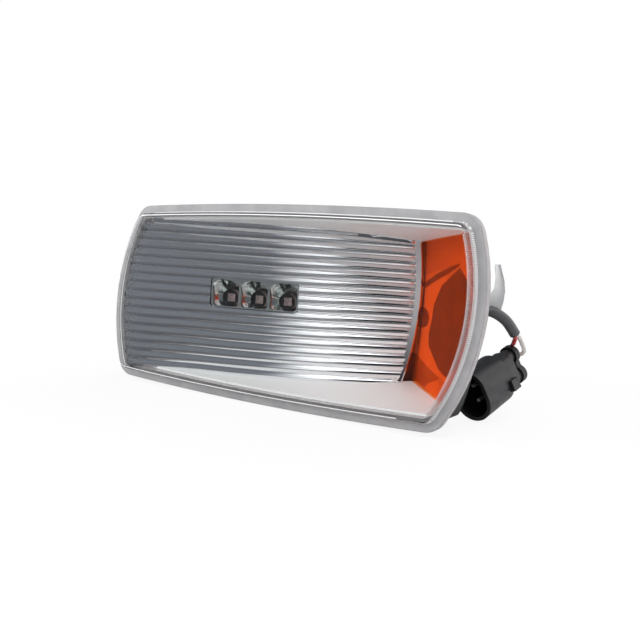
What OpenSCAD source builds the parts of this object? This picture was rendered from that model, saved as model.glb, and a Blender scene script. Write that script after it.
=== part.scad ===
// Side repeater lamp: a clear lens over a chromed, fluted reflector with three lights in its
// window and an amber chamber at the right end. X runs along the lamp, Z is up, the lens faces -Y,
// and the origin lies on the mounting plane, midway between the two threaded inserts.
// The modules below measure depth from the front of the flange, and seat() moves them into place.

/* [Outline] */
// Length of the lens over its bowed ends
lamp_length = 175; // [170:1:182]
// Height of the lens over its bowed long edges
lamp_height = 80; // [78:1:84]
// Depth from the front of the flange to the mounting plane
lamp_depth = 60; // [59:1:70]
// Radius of the bowed ends
end_radius = 83; // [80:1:100]
// How far the widest point of each end lies off the middle, so that the ends lean
end_shift = 9; // [6:1:11]
// Radius of the slightly bowed long edges
edge_radius = 1600; // [1200:100:3000]
// Corner radius of the flange
corner_radius = 8; // [7:0.5:9]

/* [Lens] */
// Thickness of the flange
flange_thickness = 3.5; // [3:0.1:4.5]
// Width of the flange in front of the crown
flange_width = 3.6; // [3:0.1:4.5]
// Height of the crown over the flange
crown_height = 4; // [3:0.1:6]
// Wall of the lens
lens_wall = 1.6; // [1.2:0.1:2]

/* [Housing] */
// Wall of the housing
housing_wall = 2; // [1.6:0.1:2.2]
// How far the rim of the housing lies inside the edge of the lens
rim_step = 1; // [0.8:0.1:1.4]
// Height of the rim
rim_height = 3; // [2.5:0.1:4]
// How far the body lies inside the rim
body_step = 1.2; // [1:0.1:1.4]
// Depth of the deep part of the body
body_depth = 56.5; // [56:0.5:58]
// Depth of the shallow part at the left end
shallow_depth = 22; // [20:0.5:26]
// Place along X where the shallow part ends
ramp_start = -62; // [-66:1:-60]
// Place along X where the deep part starts
ramp_end = -28; // [-32:1:-24]
// Place along X of the deep part's right corner
back_corner = 49; // [48:0.5:50]
// Place along X of the right wall at the rim
rim_corner = 84; // [83:0.5:85]
// Corner radius of the body seen from above
body_round = 6; // [3:0.5:8]
// How much lower the body is at its back
body_draft = 0.8; // [0:0.1:1.2]

/* [Reflector] */
// Wall of the reflector
reflector_wall = 1; // [0.8:0.1:1.1]
// How far the mouth's top lies inside the lens
mouth_top_step = 5.5; // [5.4:0.1:6]
// How far the mouth's bottom lies inside the lens
mouth_bottom_step = 6.7; // [6:0.1:7]
// How much lower the top wall is at the back
top_draft = 1.8; // [1:0.1:3]
// How much higher the bottom wall is at the back
bottom_draft = 0.6; // [0:0.1:1.5]
// Radius of the curved panel
panel_radius = 215; // [205:1:230]
// Place along X where the panel runs along the lens
panel_start = -80; // [-84:1:-78]
// Depth of the panel there
panel_depth = 7.5; // [7:0.1:9]
// Thickness of the panel
panel_thickness = 1.8; // [1.5:0.1:2]
// Distance between flutes
flute_pitch = 3.75; // [3.6:0.05:4]
// Height of a flute over the panel
flute_height = 0.75; // [0.5:0.05:0.9]
// Radius of the divider between the panel and the end chamber
divider_radius = 127; // [110:1:150]
// Place along X of the divider's right face at its widest point
divider_x = 44.6; // [44:0.1:45]
// Thickness of the divider
divider_width = 3; // [2.6:0.1:3.2]
// Depth of the divider's front face
divider_depth = 43; // [42.5:0.1:44]

/* [Window] */
// Length of the window in the panel
window_length = 40.6; // [39.6:0.1:41]
// Height of the window
window_height = 13.2; // [13:0.1:14]
// Place of the window's middle along X
window_x = -21; // [-23:0.5:-19]
// Height of the window's middle
window_z = 2.6; // [2:0.1:3.2]
// Turn of the window, along the panel
window_turn = 16.2; // [15.5:0.1:17]
// Corner radius of the window
window_round = 2; // [1:0.1:3]
// Distance between the lights
light_pitch = 13.2; // [13:0.1:13.3]
// How far the row of lights lies below the window's middle
light_drop = 2.2; // [1.8:0.1:2.4]
// Side of a light package
light_side = 3.5; // [2.8:0.1:3.5]
// Height of a light package
light_height = 1.4; // [1:0.1:1.6]
// Radius of the hole round a light
light_hole = 3.7; // [3.2:0.1:4]

/* [Board] */
// Distance from the panel to the LED board
board_offset = 9; // [8.6:0.1:9.6]
// Height of the LED board
board_height = 22; // [20:1:24]
// Thickness of the boards
board_thickness = 1.6; // [1:0.1:1.6]
// Distance from the window's end to a board screw
screw_reach = 7.7; // [6.7:0.1:8.5]
// Distance from a board screw to the board's end
board_margin = 5; // [4.5:0.1:6]
// Radius of a board screw's shank
screw_shank = 1.2; // [1:0.05:1.3]
// Radius of a board screw's head
screw_head = 2.8; // [2.5:0.1:3]

/* [Chamber] */
// Thickness of the amber filter
filter_thickness = 1.2; // [1:0.1:1.5]
// Place of the filter's right edge along X
filter_x = 79.5; // [79:0.1:80]
// Depth of the filter's right edge
filter_depth = 4.6; // [4.4:0.1:5]
// Half width of the bowl at the divider
bowl_reach = 14; // [12:0.5:16]
// Length of the bowl along the filter
bowl_length = 15; // [12:1:17]
// Depth of the bowl
bowl_depth = 3.2; // [3:0.1:3.4]
// Height of the bowl's middle
bowl_z = -1.8; // [-3:0.1:0]
// Width of the side light's board
side_board_width = 7; // [6:0.5:8]
// Height of the side light's board
side_board_height = 16; // [12:1:18]
// How far behind its light the board's middle lies
side_board_shift = 1.3; // [1.2:0.1:1.5]
// Radius of the light hole in the divider
side_hole = 3.5; // [2.8:0.1:3.6]
// Depth of the light hole's middle
side_hole_depth = 49; // [48.5:0.1:49.5]

/* [Mounting] */
// Distance between the threaded inserts
insert_spacing = 50; // [46:1:52]
// Radius of an insert
insert_radius = 3.5; // [3.2:0.1:4]
// Radius of an insert's bore, for an M5 thread
insert_bore = 2.1; // [2:0.05:2.2]
// Length of an insert
insert_length = 10; // [8:1:12]
// Radius of a mounting pillar
pillar_radius = 6.5; // [6:0.1:7]
// Radius of the vent plug's cap
vent_radius = 5.5; // [4.5:0.1:6]

/* [Lead] */
// Diameter of a wire
wire_diameter = 1.8; // [1.6:0.1:1.8]
// Radius of the sleeve over the wires
sleeve_radius = 2.2; // [2.15:0.05:2.3]
// Depth of the grommet in the right wall
grommet_depth = 45; // [45:0.1:45.2]
// Height of the grommet
grommet_z = 3.4; // [3.3:0.1:3.5]
// Radius of the grommet's flange
grommet_flange = 5; // [4.4:0.1:5.4]

/* [Connector] */
// Width of the connector's shroud
shroud_width = 20.2; // [19.6:0.1:21]
// Height of the connector's shroud
shroud_height = 15.5; // [15:0.1:16]
// Wall of the shroud
shroud_wall = 1.5; // [1.2:0.1:1.8]
// Depth of the shroud's mouth
shroud_depth = 15; // [12:0.5:16]
// Length of the connector
connector_length = 36.5; // [36.5:0.1:37]
// Distance between the rear tubes
tube_pitch = 8.6; // [8.4:0.1:8.8]
// Radius of a rear tube
tube_radius = 3.2; // [3.1:0.05:3.3]
// Wall of a rear tube
tube_wall = 0.8; // [0.7:0.05:0.9]

/* [Hidden] */

// Clearance between pieces that are put together
fit = 0.3;
// Clearance round a small part in its bore
slip = 0.05;
// Overlap that fuses two shapes of one piece
fuse = 0.5;
// Longer than any part, for cuts that run right through
through = 200;

// Places that follow from the sizes
body_inset = rim_step + body_step;
cavity_inset = body_inset + housing_wall;
tray_inset = cavity_inset + fit;
mouth_inset = tray_inset + reflector_wall;
lens_inner = flange_width + lens_wall;
panel_centre = [panel_start, panel_depth + panel_radius];
window_y = panel_centre.y - sqrt(pow(panel_radius, 2) - pow(window_x - panel_start, 2));
board_back = board_offset + board_thickness;
divider_centre = [divider_x - divider_radius, end_shift];
housing_lean = atan2(rim_corner - back_corner, body_depth - flange_thickness - rim_height);
filter_turn = atan2(divider_depth - filter_depth, filter_x - divider_x);
filter_length = norm([filter_x - divider_x, divider_depth - filter_depth]);
grommet_x = rim_corner - (grommet_depth - flange_thickness - rim_height) * tan(housing_lean);

// Outline of the body seen from above, from the front left corner round to the right
front_margin = 12;
side_margin = 95;
plan_corners = [
    [-side_margin, -front_margin],
    [rim_corner + (flange_thickness + rim_height + front_margin) * tan(housing_lean), -front_margin],
    [back_corner, body_depth],
    [ramp_end, body_depth],
    [ramp_start, shallow_depth],
    [-side_margin, shallow_depth]];
plan_rounds = [0, 0, body_round, body_round, -body_round, 0];

// Where the connector lies, and how it is turned
connector_mouth = [71.6, 36.3, -30];
connector_rise = 17.6;
connector_yaw = -9.8;
connector_roll = 71;

// Points along the lead, from the tip of the grommet to the end of the sleeve
nose_length = 3;
wall_normal = [cos(housing_lean), sin(housing_lean), 0];
lead_exit = [grommet_x, grommet_depth, grommet_z] + nose_length * wall_normal;
lead_points = [lead_exit, lead_exit + 3 * wall_normal, [66.5, 49.4, 3.5], [69.2, 49.8, 3.4],
    [72.4, 50.6, 3], [75, 52.7, 1.6], [77.6, 55.3, -1], [79.9, 59.2, -5.7]];
label_at = 3;
sleeve_start = 4;
// How far each wire lies from the middle of the lead, and square to the wall at its exit
wire_offset = [0.09, -0.7, -0.69];
exit_offset = wire_offset - (wire_offset * wall_normal) * wall_normal;
// Points of each wire from the end of the sleeve round to its seal
red_points = [[77.9, 65.2, -9.6], [76, 70.8, -11], [73.8, 72.3, -14.1], [72.1, 74.8, -17.6],
    [72.4, 77.8, -21.3], [74.3, 80, -23.5], [76.9, 79.6, -23.5], [78.8, 76.3, -22.8]];
pale_points = [[80.3, 65.8, -8.3], [80, 70.1, -10.5], [79.3, 75.3, -12.8], [78, 79.6, -15],
    [76, 81.2, -16.3], [75.1, 78.3, -15.9], [75.7, 74.2, -15]];
// Straight part of a wire behind its seal
seal_exit = 1.2;

// Outlines
function angle_of(v) = atan2(v.y, v.x);
function arc(c, r, a0, a1, n) = [for (i = [0:n]) c + r * [cos(a0 + (a1 - a0) * i / n), sin(a0 + (a1 - a0) * i / n)]];
function tail(p, first = 1, last = 0) = [for (i = [first:len(p) - 1 - last]) p[i]];
function circles_meet(c1, r1, c2, r2, side) =
    let (d = norm(c2 - c1), u = (c2 - c1) / d, a = (r1 * r1 - r2 * r2 + d * d) / (2 * d))
    c1 + a * u + side * sqrt(r1 * r1 - a * a) * [-u.y, u.x];

// Half of the barrel outline, drawn parallel to the flange's edge at a distance inside it
end_centre = [lamp_length / 2 - end_radius, end_shift];
top_centre = [0, lamp_height / 2 - edge_radius];
mouth_top = lamp_height / 2 - mouth_top_step;
mouth_bottom = lamp_height / 2 - mouth_bottom_step;
flute_count = floor((mouth_top + mouth_bottom) / flute_pitch);
screw_place = window_length / 2 + screw_reach;
board_length = 2 * (screw_place + board_margin);
smallest_round = 0.8;
function half_outline(inset) =
    let (round = max(corner_radius - inset, smallest_round),
         re = end_radius - inset,
         rt = edge_radius - inset,
         high = circles_meet(end_centre, re - round, top_centre, rt - round, 1),
         low = circles_meet(end_centre, re - round, -top_centre, rt - round, -1))
    concat(arc(low, round, angle_of(low + top_centre), angle_of(low - end_centre), 5),
        tail(arc(end_centre, re, angle_of(low - end_centre), angle_of(high - end_centre), 14)),
        tail(arc(high, round, angle_of(high - end_centre), angle_of(high - top_centre), 5)),
        tail(arc(top_centre, rt, angle_of(high - top_centre), angle_of(-low - top_centre), 8), 1, 1));
function outline(inset) = let (h = half_outline(inset)) concat(h, [for (p = h) -p]);

// A polygon moved inwards by a distance, and one with rounded corners
function left_normal(a, b) = [a.y - b.y, b.x - a.x] / norm(b - a);
function inset_corner(a, b, c, w) =
    let (n = left_normal(a, b), m = left_normal(b, c)) b + w * (n + m) / (1 + n * m);
function inset_points(p, w) =
    let (n = len(p)) [for (i = [0:n - 1]) inset_corner(p[(i + n - 1) % n], p[i], p[(i + 1) % n], w)];
function round_corner(a, b, c, r) =
    let (u = (a - b) / norm(a - b), v = (c - b) / norm(c - b), half = acos(u * v) / 2,
         centre = b + (u + v) / norm(u + v) * r / sin(half),
         a0 = angle_of(b + u * r / tan(half) - centre),
         turn = (angle_of(b + v * r / tan(half) - centre) - a0 + 540) % 360 - 180)
    arc(centre, r, a0, a0 + turn, 5);
function rounded(p, radii) =
    let (n = len(p))
    [for (i = [0:n - 1], q = radii[i] == 0 ? [p[i]] : round_corner(p[(i + n - 1) % n], p[i], p[(i + 1) % n], abs(radii[i]))) q];

// Shapes shared by several pieces
module seat() {
    translate([0, -lamp_depth, 0]) children();
}

// The barrel outline as a block from one depth to another
module slab(front, back, inset) {
    translate([0, back, 0]) rotate([90, 0, 0]) linear_extrude(back - front) polygon(outline(inset));
}

// The body seen from above, moved inwards by a distance
module plan_prism(inset) {
    radii = [for (r = plan_rounds) r == 0 ? 0 : max(abs(r) - sign(r) * inset, smallest_round)];
    translate([0, 0, -lamp_height]) linear_extrude(2 * lamp_height)
        polygon(rounded(inset_points(plan_corners, inset), radii));
}

// A block that narrows towards the back at its top and bottom
module draft_prism(top, bottom, top_fall, bottom_rise) {
    span = body_depth;
    rotate([90, 0, 90]) translate([0, 0, -through / 2]) linear_extrude(through)
        polygon([[-front_margin, -bottom], [0, -bottom], [span, bottom_rise - bottom],
            [span, top - top_fall], [0, top], [-front_margin, top]]);
}

// The room inside the body, from which the reflector's tray is made
module tray_block(inset, plan, rise) {
    intersection() {
        slab(flange_thickness + fit, body_depth, inset);
        plan_prism(plan);
        draft_prism(mouth_top + rise, mouth_bottom + rise, top_draft, bottom_draft);
    }
}

// All that lies left of the divider's right face, less a distance
module left_of_divider(inset, front = -front_margin) {
    translate([divider_centre.x, front, divider_centre.y]) rotate([-90, 0, 0])
        cylinder(r = divider_radius - inset, h = through, $fn = 256);
}

// All that lies behind the panel
module behind_panel(inset) {
    translate([panel_centre.x, panel_centre.y, -lamp_height])
        cylinder(r = panel_radius - inset, h = 2 * lamp_height, $fn = 256);
}

// Children placed on the panel at the window, with X along the panel and Y into the lamp
module at_window() {
    translate([window_x, window_y, window_z]) rotate([0, 0, window_turn]) children();
}

// An upright rounded plate that runs into the lamp from one depth to another
module plate(length, height, round, front, back) {
    l = length / 2;
    h = height / 2;
    translate([0, back, 0]) rotate([90, 0, 0]) linear_extrude(back - front)
        polygon(rounded([[-l, -h], [l, -h], [l, h], [-l, h]], [round, round, round, round]));
}

// A cylinder along Y
module rod(r, front, back) {
    translate([0, front, 0]) rotate([-90, 0, 0]) cylinder(r = r, h = back - front, $fn = 48);
}

// A tube swept along points, as rings joined by triangles
function direction(p, i) = let (d = p[min(i + 1, len(p) - 1)] - p[max(i - 1, 0)]) d / norm(d);
function side_of(d) = let (s = cross(d, [0.5, -0.76, 0.41])) s / norm(s);
function ring(p, i, r, sides) =
    let (d = direction(p, i), u = side_of(d), v = cross(d, u))
    [for (k = [0:sides - 1]) p[i] + r * (cos(360 * k / sides) * u + sin(360 * k / sides) * v)];
function flat(rings) = [for (r = rings, q = r) q];
function skin(rows, n, close) =
    [for (i = [0:rows - (close ? 1 : 2)], k = [0:n - 1], t = [0, 1])
        let (a = i * n + k, b = i * n + (k + 1) % n, c = ((i + 1) % rows) * n + k, d = ((i + 1) % rows) * n + (k + 1) % n)
        t == 0 ? [a, c, b] : [b, c, d]];
module loft(rings) {
    n = len(rings[0]);
    rows = len(rings);
    polyhedron(flat(rings), concat(skin(rows, n, false), [[for (k = [0:n - 1]) k]],
        [[for (k = [n - 1:-1:0]) (rows - 1) * n + k]]));
}
module cord(p, r, sides = 8) {
    loft([for (i = [0:len(p) - 1]) ring(p, i, r, sides)]);
}
module hose(p, r, bore, sides = 12) {
    rings = concat([for (i = [0:len(p) - 1]) ring(p, i, r, sides)],
        [for (i = [len(p) - 1:-1:0]) ring(p, i, bore, sides)]);
    polyhedron(flat(rings), skin(len(rings), sides, true));
}

// The lens, from the middle of its front over the crown and flange to the inside of its front
function lens_ring(y, inset) = [for (q = outline(inset)) [q.x, y, q.y]];
module lens() {
    bow = 0.6;
    edge = 1.1;
    front = -crown_height;
    inside = front + lens_wall;
    flange_break = 0.5;
    color("#dfe3e6") seat() loft([
        lens_ring(front - bow, lens_inner + 18),
        lens_ring(front - bow / 2, lens_inner + 8),
        lens_ring(front, flange_width + 2 * edge + 0.6),
        lens_ring(front + edge / 3, flange_width + edge),
        lens_ring(front + edge, flange_width + edge / 3),
        lens_ring(0, flange_width),
        lens_ring(0, flange_break),
        lens_ring(flange_break, 0),
        lens_ring(flange_thickness, 0),
        lens_ring(flange_thickness, lens_inner),
        lens_ring(inside + edge, lens_inner + edge / 3),
        lens_ring(inside, lens_inner + edge),
        lens_ring(inside - bow / 2, lens_inner + 8),
        lens_ring(inside - bow, lens_inner + 18)]);
}

// The housing, a drafted shell with a rim, two mounting pillars with gussets and two holes
module gusset_ribs(x) {
    rib = 1.6;
    reach = pillar_radius + 6;
    for (turn = [0, 90]) {
        translate([x, body_depth - fuse, 0]) rotate([0, turn, 0]) rotate([-90, 0, 0])
            translate([-reach, -rib / 2, 0]) cube([2 * reach, rib, fuse + 1.5]);
    }
}
module at_grommet() {
    translate([grommet_x, grommet_depth, grommet_z]) rotate([0, 0, housing_lean - 90]) children();
}
module at_vent() {
    translate([0, body_depth, 20]) children();
}
module housing() {
    rim_front = flange_thickness;
    ledge = rim_front + fit + reflector_wall;
    color("#25272a") seat() difference() {
        union() {
            slab(rim_front, rim_front + rim_height, rim_step);
            intersection() {
                slab(rim_front, body_depth, body_inset);
                plan_prism(0);
                draft_prism(lamp_height, lamp_height, body_draft, body_draft);
            }
            for (x = [-insert_spacing / 2, insert_spacing / 2]) {
                translate([x, 0, 0]) rod(pillar_radius, body_depth - housing_wall - fuse, lamp_depth);
                gusset_ribs(x);
            }
        }
        difference() {
            intersection() {
                slab(rim_front - fuse, body_depth, cavity_inset);
                plan_prism(housing_wall);
            }
            for (x = [-insert_spacing / 2, insert_spacing / 2]) {
                translate([x, 0, 0]) rod(pillar_radius, lamp_depth - insert_length - housing_wall, body_depth);
            }
        }
        slab(rim_front - fuse, ledge, rim_step + housing_wall);
        for (x = [-insert_spacing / 2, insert_spacing / 2]) {
            translate([x, 0, 0]) rod(insert_radius, lamp_depth - insert_length, lamp_depth + fuse);
        }
        at_grommet() rod(grommet_neck + slip, -2 * housing_wall, housing_wall);
        at_vent() rod(vent_shank + slip, -2 * housing_wall, housing_wall);
    }
}

// The chromed reflector: a tray with the fluted panel, the divider, a lip and two screw bosses
function panel_angle(x) = asin((x - panel_start) / panel_radius);
function left_edge(z, inset) =
    let (high = lamp_height / 2 - inset - abs(z))
    max(-end_centre.x - sqrt(pow(end_radius - inset, 2) - pow(z + end_centre.y, 2)),
        -sqrt(2 * edge_radius * max(high, 0)));
function divider_edge(z) = divider_centre.x + sqrt(pow(divider_radius - divider_width, 2) - pow(z - end_shift, 2));
module flute(z) {
    r = (pow(flute_pitch / 2, 2) + pow(flute_height, 2)) / (2 * flute_height);
    valley = 0.2;
    root = 0.4;
    edge = z + sign(z) * flute_pitch / 2;
    start = panel_angle(left_edge(edge, mouth_inset - valley));
    sweep = panel_angle(divider_edge(z) + fuse) - start;
    translate(panel_centre) rotate([0, 0, start - 90]) rotate_extrude(angle = sweep, $fn = 256)
        translate([panel_radius + flute_height - r, z]) intersection() {
            circle(r = r, $fn = 48);
            translate([r - flute_height - root, (valley - flute_pitch) / 2]) square([flute_height + 2 * root, flute_pitch - valley]);
        }
}
module fluted_panel() {
    intersection() {
        difference() {
            behind_panel(0);
            behind_panel(panel_thickness);
        }
        left_of_divider(divider_width - fuse);
        tray_block(mouth_inset - fuse, 0, fuse);
    }
    for (i = [0:flute_count - 1]) {
        flute((i - (flute_count - 1) / 2) * flute_pitch + (mouth_top - mouth_bottom) / 2);
    }
}
module reflector() {
    tray_plan = housing_wall + fit;
    boss_radius = 3;
    boss_front = 3;
    color("#d5d8dc") seat() difference() {
        union() {
            difference() {
                union() {
                    tray_block(tray_inset, tray_plan, reflector_wall);
                    intersection() {
                        slab(flange_thickness + fit, flange_thickness + fit + reflector_wall, rim_step + housing_wall + fit);
                        plan_prism(0);
                    }
                }
                tray_block(mouth_inset, tray_plan + reflector_wall, 0);
                slab(-fuse, flange_thickness + fit + fuse, mouth_inset);
                intersection() {
                    behind_panel(panel_thickness / 2);
                    left_of_divider(divider_width / 2);
                }
            }
            fluted_panel();
            intersection() {
                difference() {
                    left_of_divider(0, divider_depth);
                    left_of_divider(divider_width);
                }
                tray_block(mouth_inset - fuse, tray_plan + reflector_wall - fuse, fuse);
            }
            for (x = [-screw_place, screw_place]) {
                at_window() translate([x, 0, -light_drop]) rod(boss_radius, boss_front, board_offset);
            }
        }
        at_window() plate(window_length, window_height, window_round, -window_height, board_offset - fuse);
        for (x = [-screw_place, screw_place]) {
            at_window() translate([x, 0, -light_drop]) rod(screw_shank + slip, boss_front + 1, board_offset + fuse);
        }
        translate([divider_x, side_hole_depth, bowl_z]) rotate([0, 0, -90]) rod(side_hole, -2 * divider_width, divider_width);
    }
}

// The insert with three tapered cells, one round each light
module cell_reflector() {
    rib = 1;
    cell_floor = 6.5;
    cell_mouth = 10.5;
    flange_front = 3.3;
    flange_back = 4.5;
    flange_reach = 4;
    color("#c9cdd1") at_window_seat() difference() {
        union() {
            plate(window_length - 2 * fit, window_height - 2 * fit, window_round - fit, 1.2, board_offset);
            plate(window_length + flange_reach, window_height + flange_reach, window_round, flange_front, flange_back);
        }
        for (i = [-1, 0, 1]) {
            intersection() {
                translate([i * light_pitch, 0, 0]) plate(light_pitch - rib, window_height - 2 * fit - rib, window_round - fit, -1, cell_floor);
                translate([i * light_pitch, -1, -light_drop]) rotate([-90, 0, 0]) cylinder(r1 = cell_mouth, r2 = light_hole, h = cell_floor + 1, $fn = 64);
            }
            translate([i * light_pitch, 0, -light_drop]) rod(light_hole, cell_floor - 1, board_offset + fuse);
        }
    }
}
module at_window_seat() {
    seat() at_window() children();
}

// The LED board and what is on it
module led_board() {
    color("#1c1f22") at_window_seat() translate([0, 0, -light_drop]) difference() {
        plate(board_length, board_height, 1.5, board_offset, board_back);
        for (x = [-screw_place, screw_place]) {
            translate([x, 0, 0]) rod(screw_shank + 2 * slip, board_offset - fuse, board_back + fuse);
        }
    }
}
module light_package(side, height) {
    rim = 0.45;
    dish = 0.3;
    difference() {
        translate([-side / 2, -height, -side / 2]) cube([side, height, side]);
        rod(side / 2 - rim, -height - fuse, dish - height);
    }
}
module light(i) {
    color("#c9a9a5") at_window_seat() translate([i * light_pitch, board_offset, -light_drop]) light_package(light_side, light_height);
}
module board_screw(side) {
    head_height = 2;
    slot = 0.8;
    engage = board_offset - 4.6;
    color("#b9bcbe") at_window_seat() translate([side * screw_place, board_back, -light_drop]) difference() {
        union() {
            rod(screw_shank, -board_thickness - engage, fuse);
            rod(screw_head, 0, head_height);
        }
        translate([-screw_head, head_height / 2, -slot / 2]) cube([2 * screw_head, head_height, slot]);
    }
}
module chip(x, z, length, depth, height, tint) {
    color(tint) at_window_seat() translate([x - length / 2, board_back, z - light_drop - height / 2]) cube([length, depth, height]);
}
module regulator() {
    tab = 1.2;
    color("#202224") at_window_seat() translate([16, board_back, -light_drop]) union() {
        translate([-3.3, 0, -3]) cube([6.6, 2.3, 6]);
        translate([-2.7, 0, 3 - fuse]) cube([5.4, 0.6, tab + fuse]);
    }
}
module capacitor() {
    base = 1;
    color("#9a9da1") at_window_seat() translate([-12, board_back, -light_drop]) union() {
        translate([-3.3, 0, -3.3]) cube([6.6, base, 6.6]);
        rod(3.15, base - fuse, 5.4);
    }
}

// The end chamber: an amber sheet across its mouth and a bowl behind it
module at_filter() {
    translate([divider_x, divider_depth, 0]) rotate([0, 0, -filter_turn]) children();
}
module chamber_block(gap, front, back) {
    intersection() {
        tray_block(mouth_inset + gap, housing_wall + fit + reflector_wall, -gap);
        at_filter() translate([-through / 2, front, -lamp_height]) cube([through, back - front, 2 * lamp_height]);
        difference() {
            translate([divider_centre.x, -front_margin, -lamp_height]) cube([through + divider_radius, through, 2 * lamp_height]);
            left_of_divider(-gap);
        }
    }
}
module amber_filter() {
    color("#d9661c") seat() chamber_block(fit, 0, filter_thickness);
}
module side_reflector() {
    front = filter_thickness;
    r = (pow(bowl_reach, 2) + pow(bowl_depth, 2)) / (2 * bowl_depth);
    color("#c9cdd1") seat() difference() {
        chamber_block(fit, front, lamp_depth);
        at_filter() translate([-divider_width, front + bowl_depth - r, bowl_z]) rotate([0, 90, 0])
            cylinder(r = r, h = bowl_length + divider_width, $fn = 96);
        translate([divider_x, side_hole_depth, bowl_z]) rotate([0, 0, -90]) rod(side_hole, -divider_width, divider_width);
    }
}
module at_side_light() {
    low = bowl_z - side_board_height / 2 - end_shift;
    face = divider_centre.x + sqrt(pow(divider_radius - divider_width, 2) - pow(low, 2));
    seat() translate([face, side_hole_depth, bowl_z]) rotate([0, 0, -90]) children();
}
module side_led_board() {
    color("#1c1f22") at_side_light() translate([-side_board_shift, 0, 0]) plate(side_board_width, side_board_height, 0.8, -board_thickness, 0);
}
module side_led() {
    color("#d8b04a") at_side_light() rotate([0, 0, 180]) light_package(light_side, light_height);
}

// Mounting inserts and the vent plug
vent_shank = 2.9;
module insert(x) {
    color("#c2a14a") seat() translate([x, 0, 0]) difference() {
        rod(insert_radius - slip, lamp_depth - insert_length, lamp_depth);
        rod(insert_bore, lamp_depth - insert_length - fuse, lamp_depth + fuse);
    }
}
module vent_plug() {
    cap = 2.4;
    color("#3a3d40") seat() at_vent() difference() {
        union() {
            rod(vent_radius, 0, cap);
            rod(vent_shank, -housing_wall, fuse);
        }
        for (turn = [0:60:300]) {
            rotate([0, turn, 0]) translate([vent_radius - 1, cap / 2, -0.5]) cube([2, cap, 1]);
        }
    }
}

// The grommet in the right wall, with a short nose from which the wires leave
grommet_neck = 3.4;
module lead_grommet() {
    flange = 1.2;
    nose_base = 3.4;
    nose_tip = 2.6;
    color("#1d1f21") seat() at_grommet() union() {
        rod(grommet_flange, 0, flange);
        translate([0, flange - slip, 0]) rotate([-90, 0, 0])
            cylinder(r1 = nose_base, r2 = nose_tip, h = nose_length - flange + slip, $fn = 48);
        rod(grommet_neck, -housing_wall, slip);
    }
}

// The lead outside the lamp: two wires, a sleeve over them and a label
function wire_route(side, points, tube) = concat(
    [for (i = [0:len(lead_points) - 1]) lead_points[i] + side * (i < 2 ? exit_offset : wire_offset)], points,
    [seal_end(tube, seal_exit), seal_end(tube, 0)]);
function local_axis(x, y, z) =
    let (a = [x * cos(connector_roll) + z * sin(connector_roll), y, z * cos(connector_roll) - x * sin(connector_roll)],
         b = [a.x, a.y * cos(connector_rise) - a.z * sin(connector_rise), a.y * sin(connector_rise) + a.z * cos(connector_rise)])
    [b.x * cos(connector_yaw) - b.y * sin(connector_yaw), b.x * sin(connector_yaw) + b.y * cos(connector_yaw), b.z];
function seal_end(side, behind) =
    connector_mouth + local_axis(side * tube_pitch / 2, connector_length + behind, 0);
module wire_red() {
    color("#c42f2c") seat() cord(wire_route(1, red_points, 1), wire_diameter / 2);
}
module wire_pale() {
    color("#dcdad4") seat() cord(wire_route(-1, pale_points, -1), wire_diameter / 2);
}
module lead_sleeve() {
    bore = 1.95;
    color("#4a4c4f") seat() hose([for (i = [sleeve_start:len(lead_points) - 1]) lead_points[i]], sleeve_radius, bore);
}
module label_flag() {
    ring_bore = 1.95;
    sheet = 0.3;
    width = 3.6;
    flag_height = 17;
    flag_bend = 30;
    sweep = flag_height / flag_bend * 180 / PI;
    at = lead_points[label_at];
    along = lead_points[label_at + 1] - lead_points[label_at - 1];
    color("#e8e9ea") seat() translate(at) rotate([0, 0, angle_of(along)]) union() {
        rotate([0, 90, 0]) translate([0, 0, -width / 2]) difference() {
            cylinder(r = ring_bore + sheet, h = width, $fn = 48);
            translate([0, 0, -fuse]) cylinder(r = ring_bore, h = width + 2 * fuse, $fn = 48);
        }
        translate([-width / 2, 0, ring_bore + sheet / 2]) rotate([90, 0, 90]) translate([flag_bend, 0, 0])
            rotate([0, 0, 180 - sweep]) rotate_extrude(angle = sweep, $fn = 128)
                translate([flag_bend - sheet / 2, 0]) square([sheet, width]);
    }
}

// The connector, drawn with its mouth at the origin and its length along Y
module at_connector() {
    seat() translate(connector_mouth) rotate([connector_rise, 0, connector_yaw]) rotate([0, connector_roll, 0]) children();
}
module oval(width, height, front, back) {
    r = height / 2;
    translate([0, back, 0]) rotate([90, 0, 0]) linear_extrude(back - front) union() {
        for (x = [r - width / 2, width / 2 - r]) {
            translate([x, 0]) circle(r = r, $fn = 96);
        }
        translate([r - width / 2, -r]) square([width - height, height]);
    }
}
module connector_housing() {
    shroud_end = 19;
    neck_end = 27;
    neck_width = 16.5;
    neck_height = 12.5;
    bore_front = 23;
    tube_end = connector_length - 1.5;
    color("#2b2d30") at_connector() difference() {
        union() {
            oval(shroud_width, shroud_height, 0, shroud_end);
            oval(neck_width, neck_height, shroud_end - fuse, neck_end);
            for (x = [-tube_pitch / 2, tube_pitch / 2]) {
                translate([x, 0, 0]) rod(tube_radius, neck_end - fuse, tube_end);
            }
            translate([1.5, 16.5, 0]) cube([4.4, 5, shroud_height / 2 + 1.2]);
            translate([-2, 17, -shroud_height / 2 - 1]) cube([4, 4, shroud_height / 2]);
        }
        oval(shroud_width - 2 * shroud_wall, shroud_height - 2 * shroud_wall, -fuse, shroud_depth);
        for (x = [-tube_pitch / 2, tube_pitch / 2]) {
            translate([x, 0, 0]) rod(tube_radius - tube_wall, bore_front, connector_length);
            translate([x * 0.7, 0, 0]) rod(pin_radius + slip, shroud_depth - fuse, bore_front + fuse);
        }
    }
}
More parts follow.
